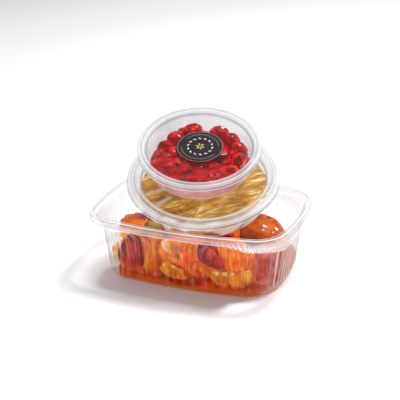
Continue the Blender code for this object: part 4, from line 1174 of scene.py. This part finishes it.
peel_wet = calc(peel_tree, "MULTIPLY_ADD", grain(peel_tree, 150.0), 0.25, 0.25)
# The peel's emission in its own colours is a painted glow.
peel_shader = put(peel_tree, "ShaderNodeBsdfPrincipled",
                  {"Base Color": peel_colour, "Roughness": peel_wet, "Normal": peel_skin,
                   "Subsurface Weight": 0.5, "Subsurface Radius": (1.0, 0.6, 0.2), "Subsurface Scale": 0.005,
                   "Emission Color": peel_colour, "Emission Strength": 0.10,
                   "Specular IOR Level": 0.15, "Coat Weight": 0.08, "Coat Roughness": 0.08})


def pass_light(tree, shader, output, colour):
    """Ends a finish of glassy flesh: a share of a lamp's light goes on through each face of it."""
    through = put(tree, "ShaderNodeBsdfTransparent", {"Color": (*colour, 1.0)}).outputs[0]
    shadow = put(tree, "ShaderNodeLightPath").outputs["Is Shadow Ray"]
    whole = put(tree, "ShaderNodeMixShader", {0: shadow, 1: shader.outputs[0], 2: through}).outputs[0]
    tree.links.new(whole, output.inputs["Surface"])


pass_light(peel_tree, peel_shader, peel_output, (0.96, 0.95, 0.93))


def peel_strip(seed):
    """One strip about the origin: pointed ends, rounded edges, a gentle side bend and a twist."""
    draw = random.Random(seed)
    bend, twist, sag = draw.uniform(0.10, 0.26), draw.uniform(-0.9, 0.9), draw.uniform(4, 9) * MM
    vertices, faces = [], []
    for i in range(STRIP_STEPS + 1):
        t = i / STRIP_STEPS * 2 - 1
        uneven = 1 + 0.12 * noise.noise(Vector((t * 4, seed, 0)))
        width = STRIP_WIDTH / 2 * (1 - abs(t) ** 3.5 * 0.97) * uneven
        thick = STRIP_THICKNESS / 2 * (1 - abs(t) ** 6 * 0.9)
        centre = Vector((t * STRIP_LENGTH / 2, bend * STRIP_LENGTH / 2 * t * t, -sag * t * t
                         + 0.8 * MM * noise.noise(Vector((t * 3, 0, seed)))))
        roll = Matrix.Rotation(twist * t, 3, "X")
        for k in range(STRIP_SIDES):
            angle = 2 * math.pi * k / STRIP_SIDES
            y, z = math.cos(angle), math.sin(angle)
            y, z = math.copysign(abs(y) ** 0.6, y) * width, math.copysign(abs(z) ** 0.6, z) * thick
            z += -0.35 * y * y / width
            vertices.append(centre + roll @ Vector((0, y, z)))
    for i in range(STRIP_STEPS):
        for k in range(STRIP_SIDES):
            j = (k + 1) % STRIP_SIDES
            a, b = i * STRIP_SIDES, (i + 1) * STRIP_SIDES
            faces.append((a + k, a + j, b + j, b + k))
    faces.append(range(STRIP_SIDES))
    end = STRIP_STEPS * STRIP_SIDES
    faces.append(range(end + STRIP_SIDES - 1, end - 1, -1))
    return new_piece(f"strip pattern {seed}", vertices, faces, peel_finish)


def room_in_cup(foot, mouth, cup_height):
    """A rule for how far from the middle a cup's inside reaches at a height."""
    return lambda z: foot + (mouth - foot) * z / cup_height - TUB_WALL - 0.3 * MM


def heap_of(name, finish, patterns, spots, core, stand, room=None):
    """Real pieces over a core: copies of the patterns at spots, each with a place, a turn, a size and its
    pattern's number. Where there is a room, what would stick through the cup's wall is pressed against it."""
    collection = bpy.data.collections.new(f"{name} patterns")
    for pattern in patterns:
        bpy.context.scene.collection.objects.unlink(pattern)
        collection.objects.link(pattern)
    heap = new_piece(name, [place for place, _, _, _ in spots], [], finish)
    for label, kind, column in (("turn", "FLOAT_VECTOR", 1), ("size", "FLOAT", 2), ("kind", "INT", 3)):
        give_attribute(heap, label, [spot[column] for spot in spots], kind)
    tree, inputs = geometry_tree(f"{name} scatter", ("Size",))
    source = put(tree, "GeometryNodeCollectionInfo", {"Collection": collection, "Separate Children": True,
                                                      "Reset Children": True}).outputs[0]
    size = calc(tree, "MULTIPLY", number_of(tree, "size"), inputs["Size"])
    copies = put(tree, "GeometryNodeInstanceOnPoints",
                 {"Points": inputs["Mesh"], "Instance": source, "Pick Instance": True,
                  "Instance Index": number_of(tree, "kind", "INT"),
                  "Rotation": number_of(tree, "turn", "FLOAT_VECTOR"), "Scale": size}).outputs[0]
    finish_tree(tree, copies, finish)
    run_tree(heap, tree, {"Size": 1.0})
    if core:
        bm = bmesh.new()
        bm.from_mesh(heap.data)
        bm.from_mesh(core.data)
        bm.to_mesh(heap.data)
        bm.free()
        bpy.data.objects.remove(core, do_unlink=True)
        heap.data.shade_smooth()
    for vertex in heap.data.vertices if room else ():
        x, y, z = vertex.co
        share = min(1.0, room(z) / max(math.hypot(x, y), 1e-6))
        vertex.co = (x * share, y * share, z)
    heap.data.transform(stand)
    heap.data.update()
    for spare in patterns:
        bpy.data.objects.remove(spare, do_unlink=True)
    bpy.data.collections.remove(collection)
    return heap


def filled_cup(foot, mouth, cup_height, low, high, finish):
    """What lies under and between the pieces: it fills the cup from its floor, and its top is lumpy. High is
    a rule for the height of the top at a place across the cup."""
    rings, steps = 26, 120
    vertices, faces = [(0.0, 0.0, low)], []
    reach = room_in_cup(foot, mouth, cup_height)
    for ring in range(1, rings + 1):
        share = ring / rings
        for i in range(steps):
            angle = 2 * math.pi * i / steps
            out = reach(low) * 0.985 * share
            vertices.append((out * math.cos(angle), out * math.sin(angle), low))
    for ring in range(rings, 0, -1):
        share = ring / rings
        for i in range(steps):
            angle = 2 * math.pi * i / steps
            x, y = share * math.cos(angle), share * math.sin(angle)
            top = high(x, y) - 1.5 * MM * max(0.0, share - 0.9) * 10
            vertices.append((x * reach(top), y * reach(top), top))
    vertices.append((0.0, 0.0, high(0.0, 0.0)))
    for ring in range(2 * rings - 1):
        for i in range(steps):
            j = (i + 1) % steps
            a, b = 1 + ring * steps, 1 + (ring + 1) * steps
            faces.append((a + j, a + i, b + i, b + j))
    last = 1 + (2 * rings - 1) * steps
    for i in range(steps):
        j = (i + 1) % steps
        faces.append((0, 1 + i, 1 + j))
        faces.append((last + j, last + i, len(vertices) - 1))
    core = new_piece("core", vertices, faces, finish)
    bm = bmesh.new()
    bm.from_mesh(core.data)
    bmesh.ops.recalc_face_normals(bm, faces=bm.faces)
    bm.to_mesh(core.data)
    bm.free()
    return core


peel_draw = random.Random(12)
peel_spots = []
for layer, height, rows in ((0, 9.0, 7), (1, 13.0, 8), (2, 15.2, 6)):
    for row in range(rows):
        across = (row - (rows - 1) / 2) * (78.0 / rows) * MM + peel_draw.uniform(-2, 2) * MM
        along = peel_draw.uniform(-12, 12) * MM
        place = Matrix.Rotation(PEEL_LINE, 3, "Z") @ Vector((along, across, 0))
        place.z = height * MM + peel_draw.uniform(-0.7, 0.7) * MM
        room = math.sqrt(max(0.05, 1 - (abs(across) / (46 * MM)) ** 2))
        size = min(1.0, room * 1.15) * peel_draw.uniform(0.82, 1.0)
        turn = (peel_draw.uniform(-0.5, 0.5), peel_draw.uniform(-0.05, 0.05),
                PEEL_LINE + peel_draw.uniform(-0.35, 0.30))
        peel_spots.append((place, turn, size, (layer + row) % 5))


def peel_top(x, y):
    """The height of the peel under the strips."""
    return (10.5 + 1.6 * noise.noise(Vector((x * 3, y * 6, 1)))) * MM


peel = heap_of("peel_strips", peel_finish, [peel_strip(seed) for seed in range(1, 6)], peel_spots,
               filled_cup(PEEL_FOOT, PEEL_MOUTH, PEEL_HEIGHT, CUP_FLOOR, peel_top, peel_finish),
               lower, room_in_cup(PEEL_FOOT, PEEL_MOUTH, PEEL_HEIGHT))
stand_for(peel, "candied_peel", "peel_heap")


# The upper tub: a smaller cup and lid of the same kind, full of candied cherries. It stands in the lower
# lid's sunk panel, tipped where it rides up on the raised ring.
CHERRY_LID, CHERRY_RECESS, CHERRY_HEIGHT = 47.5 * MM, 40.0 * MM, 21.3 * MM
CHERRY_FOOT, CHERRY_MOUTH = 38.6 * MM, 42.8 * MM
upper = tub_stand("cherry_tub")
cherry_cup = turned("cherry_cup", cup_profile(CHERRY_FOOT, CHERRY_MOUTH, CHERRY_LID, CHERRY_HEIGHT), upper,
                    cup_plastic, cup_looks(CHERRY_FOOT, FRONT, 1.2, 0.65, False))
stand_for(cherry_cup, "tub_plastic", "cherry_tub")
cherry_lid = turned("cherry_cup_lid", lid_profile(CHERRY_LID, CHERRY_RECESS, CHERRY_HEIGHT), upper,
                    lid_plastic,
                    lid_looks(CHERRY_LID, CHERRY_RECESS, CHERRY_HEIGHT))
stand_for(cherry_lid, "tub_plastic", "cherry_lid")


# The cherries: whole stoned cherries candied until clear red, sticky, so that they press into each other.
# They lie in one layer on a little thick syrup, and fill the tub up to its lid.
CHERRY_RADIUS = 7.9 * MM
CHERRY_MIDDLE = 9.4 * MM
CHERRY_SPOTS = (     # millimetres from the tub's middle, and size
    (-14.5, 26.0, 1.0), (5.5, 28.5, 1.16), (-24.0, 13.0, 0.98), (-27.5, 0.0, 0.92), (-24.0, -12.5, 0.95),
    (-17.5, -21.5, 0.92), (-8.5, -29.0, 0.98), (6.5, -29.5, 0.95), (19.5, -23.0, 0.96), (28.5, -11.5, 0.98),
    (31.5, 3.5, 0.93), (25.5, 15.0, 0.98), (17.0, 24.5, 0.88), (-18.0, -4.5, 0.98), (-8.5, 12.0, 1.0),
    (7.0, 13.5, 1.0), (17.0, 1.5, 1.0), (-11.0, -16.0, 1.0), (4.5, -16.0, 1.02), (15.0, -12.0, 0.95),
    (0.0, 0.0, 1.0), (-20.0, 21.0, 0.8),
)

cherry_finish, cherry_tree, cherry_output = new_finish("candied cherry")
cherry_cloud = grain(cherry_tree, 160.0, 4.0)
cherry_colour = ramp(cherry_tree, cherry_cloud, (0.32, (0.10, 0.000, 0.001)), (0.49, (0.32, 0.000, 0.002)),
                     (0.61, (0.58, 0.003, 0.003)), (0.72, (1.0, 0.06, 0.02)))
cherry_skin = put(cherry_tree, "ShaderNodeBump", {"Height": grain(cherry_tree, 230.0, 3.0), "Strength": 0.6,
                                                  "Distance": 0.0014}).outputs["Normal"]
cherry_wet = calc(cherry_tree, "MULTIPLY_ADD", grain(cherry_tree, 200.0), 0.2, 0.02)
# Painted glow: the cherries give off a faint red light, more on their sides than on their tops.
cherry_up = put(cherry_tree, "ShaderNodeSeparateXYZ",
                {0: put(cherry_tree, "ShaderNodeNewGeometry").outputs["Normal"]})
cherry_painted_glow = put(cherry_tree, "ShaderNodeMapRange",
                  {"Value": cherry_up.outputs["Z"], "From Min": 0.1, "From Max": 0.6,
                                                      "To Min": 0.42, "To Max": 0.08}).outputs[0]
cherry_shader = put(cherry_tree, "ShaderNodeBsdfPrincipled",
                    {"Base Color": cherry_colour, "Roughness": cherry_wet, "Normal": cherry_skin,
                     "Subsurface Weight": 0.6, "Subsurface Radius": (1.0, 0.06, 0.04),
                     "Subsurface Scale": 0.006,
                     "Emission Color": cherry_colour, "Emission Strength": cherry_painted_glow,
                     "Specular IOR Level": 0.05, "Coat Weight": 0.45, "Coat Roughness": 0.03})
pass_light(cherry_tree, cherry_shader, cherry_output, (0.96, 0.94, 0.94))


def cherry_pattern(seed):
    """One cherry about the origin: a squashed ball with its stem's pit and dents from its neighbours."""
    bm = bmesh.new()
    bmesh.ops.create_icosphere(bm, subdivisions=5, radius=1.0)
    draw = random.Random(seed)
    dents = [Vector((draw.gauss(0, 1), draw.gauss(0, 1), draw.gauss(0, 0.5))).normalized() for _ in range(5)]
    pit = Vector((draw.uniform(-0.5, 0.5), draw.uniform(-0.5, 0.5), 0.8)).normalized()
    for vert in bm.verts:
        p = vert.co.normalized()
        size = 1 + 0.09 * noise.noise(p * 1.7 + Vector((seed * 3.1, 0, 0)))
        size += 0.035 * noise.noise(p * 5.0 + Vector((0, seed * 2.3, 0)))
        for dent in dents:
            size = min(size, 0.90 / max(p.dot(dent), 0.01))
        size -= 0.22 * math.exp(-((1 - p.dot(pit)) / 0.035) ** 1.2)
        vert.co = Vector((p.x, p.y, p.z * 0.94)) * size * CHERRY_RADIUS
    mesh = bpy.data.meshes.new(f"cherry pattern {seed}")
    bm.to_mesh(mesh)
    bm.free()
    mesh.materials.append(cherry_finish)
    made = bpy.data.objects.new(mesh.name, mesh)
    bpy.context.scene.collection.objects.link(made)
    return made


cherry_draw = random.Random(4)
cherry_spots = []
for i, (x, y, size) in enumerate(CHERRY_SPOTS):
    turn = [cherry_draw.uniform(-0.5, 0.5), cherry_draw.uniform(-0.5, 0.5), cherry_draw.uniform(-3, 3)]
    lift = min(CHERRY_MIDDLE, 16.4 * MM - CHERRY_RADIUS * size * 0.95)
    cherry_spots.append((Vector((x * MM, y * MM, lift)), turn, size, i % 5))


def cherry_syrup_top(x, y):
    """The height of the thick red syrup that the cherries stand in: it has run down to the front."""
    front = step_between(0.0, 0.7, 0.25 - y - 1.5 * max(0.0, -x - 0.6))
    return (4.5 + 10.6 * front + 1.2 * noise.noise(Vector((x * 5, y * 5, 0)))) * MM


cherries = heap_of("cherries", cherry_finish, [cherry_pattern(seed) for seed in range(1, 6)], cherry_spots,
                   filled_cup(CHERRY_FOOT, CHERRY_MOUTH, CHERRY_HEIGHT, CUP_FLOOR, cherry_syrup_top,
                              cherry_finish),
                   upper, room_in_cup(CHERRY_FOOT, CHERRY_MOUTH, CHERRY_HEIGHT))
stand_for(cherries, "candied_cherry", "cherry_heap")


# The label: a round sticker of dark film on the upper lid's panel, with a pale printed edge and a plain
# ornament of leaves round a small rosette.
LABEL_RADIUS, LABEL_THICKNESS = 17.3 * MM, 0.15 * MM
label_base = CHERRY_HEIGHT - RECESS_DEPTH + 0.03 * MM

label_finish, label_tree, label_output = new_finish("label film")
label_cloud = ramp(label_tree, grain(label_tree, 300.0, 3.0), (0.3, (0.020, 0.013, 0.017)),
                   (0.7, (0.036, 0.025, 0.030)))
label_line = put(label_tree, "ShaderNodeAttribute", attribute_name="streak").outputs["Fac"]
label_cloud = put(label_tree, "ShaderNodeMix", {0: label_line, 6: label_cloud, 7: (0.45, 0.43, 0.42, 1.0)},
                  data_type="RGBA").outputs[2]
label_rough = calc(label_tree, "MULTIPLY_ADD", grain(label_tree, 500.0), 0.15, 0.60)
label_shader = put(label_tree, "ShaderNodeBsdfPrincipled",
                   {"Base Color": label_cloud, "Roughness": label_rough,
                                                            "Specular IOR Level": 0.08})
label_tree.links.new(label_shader.outputs[0], label_output.inputs["Surface"])


def label_looks(r, z, angle):
    """A thin pale line at the sticker's edge, and a faint one inside it that stops beside the ornament."""
    inner = 0.35 * line_at(r, 14.0 * MM, 0.25 * MM) * step_between(0.25, 0.5, abs(math.sin(angle)))
    return 0.0, 0.5 * step_between(LABEL_RADIUS - 0.7 * MM, LABEL_RADIUS - 0.3 * MM, r) + inner, 0.0


label_place = upper @ Matrix.Translation((0.0, 1.6 * MM, 0.0))
label = turned("label_disc", [(0.0, label_base + LABEL_THICKNESS),
                              (LABEL_RADIUS * 0.1, label_base + LABEL_THICKNESS),
                              (LABEL_RADIUS - 0.1 * MM, label_base + LABEL_THICKNESS),
                              (LABEL_RADIUS, label_base + LABEL_THICKNESS / 2),
                              (LABEL_RADIUS - 0.05 * MM, label_base),
                              (0.0, label_base)], label_place, label_finish, label_looks)
stand_for(label, "label_print", "label")


def ink(name, pale, deep):
    """Matt printing ink, a little uneven."""
    finish, tree, output = new_finish(name)
    colour = ramp(tree, grain(tree, 900.0, 2.0), (0.35, deep), (0.65, pale))
    shader = put(tree, "ShaderNodeBsdfPrincipled",
                 {"Base Color": colour, "Roughness": 0.6, "Specular IOR Level": 0.2})
    tree.links.new(shader.outputs[0], output.inputs["Surface"])
    return finish


def leaf_pattern(finish, length, width, thickness):
    """A thin pointed leaf that lies along +X from the origin."""
    side = [(length * t, width / 2 * math.sin(math.pi * t ** 0.8)) for t in np.linspace(0.0, 1.0, 9)]
    outline = side + [(x, -y) for x, y in side[-2:0:-1]]
    count = len(outline)
    vertices = [(x, y, 0.0) for x, y in outline] + [(x, y, thickness) for x, y in outline]
    faces = [range(count), range(2 * count - 1, count - 1, -1)]
    faces += [(i, i + count, (i + 1) % count + count, (i + 1) % count) for i in range(count)]
    return new_piece(f"{finish.name} leaf", vertices, faces, finish, smooth=False)


INK_THICKNESS = 0.05 * MM
for ink_name, pale, deep, count, ring, lean, size in (
        ("pale ink", (0.74, 0.72, 0.68), (0.55, 0.53, 0.50), 14, 8.6, 1.15, 1.0),
        ("gold ink", (0.62, 0.55, 0.16), (0.46, 0.38, 0.09), 6, 0.7, 0.0, 1.05)):
    leaf_spots = []
    for i in range(count):
        angle = 2 * math.pi * i / count
        place = Vector((ring * math.cos(angle), ring * math.sin(angle), 0.0)) * MM
        place.z = label_base + LABEL_THICKNESS + 0.01 * MM
        leaf_spots.append((place, (0.0, 0.0, angle + lean), size, 0))
    inked = ink(ink_name, pale, deep)
    leaves = heap_of(f"label_{ink_name.split()[0]}_leaves", inked,
                     [leaf_pattern(inked, 3.0 * MM, 1.3 * MM, INK_THICKNESS)], leaf_spots, None, label_place)
    stand_for(leaves, "label_print")
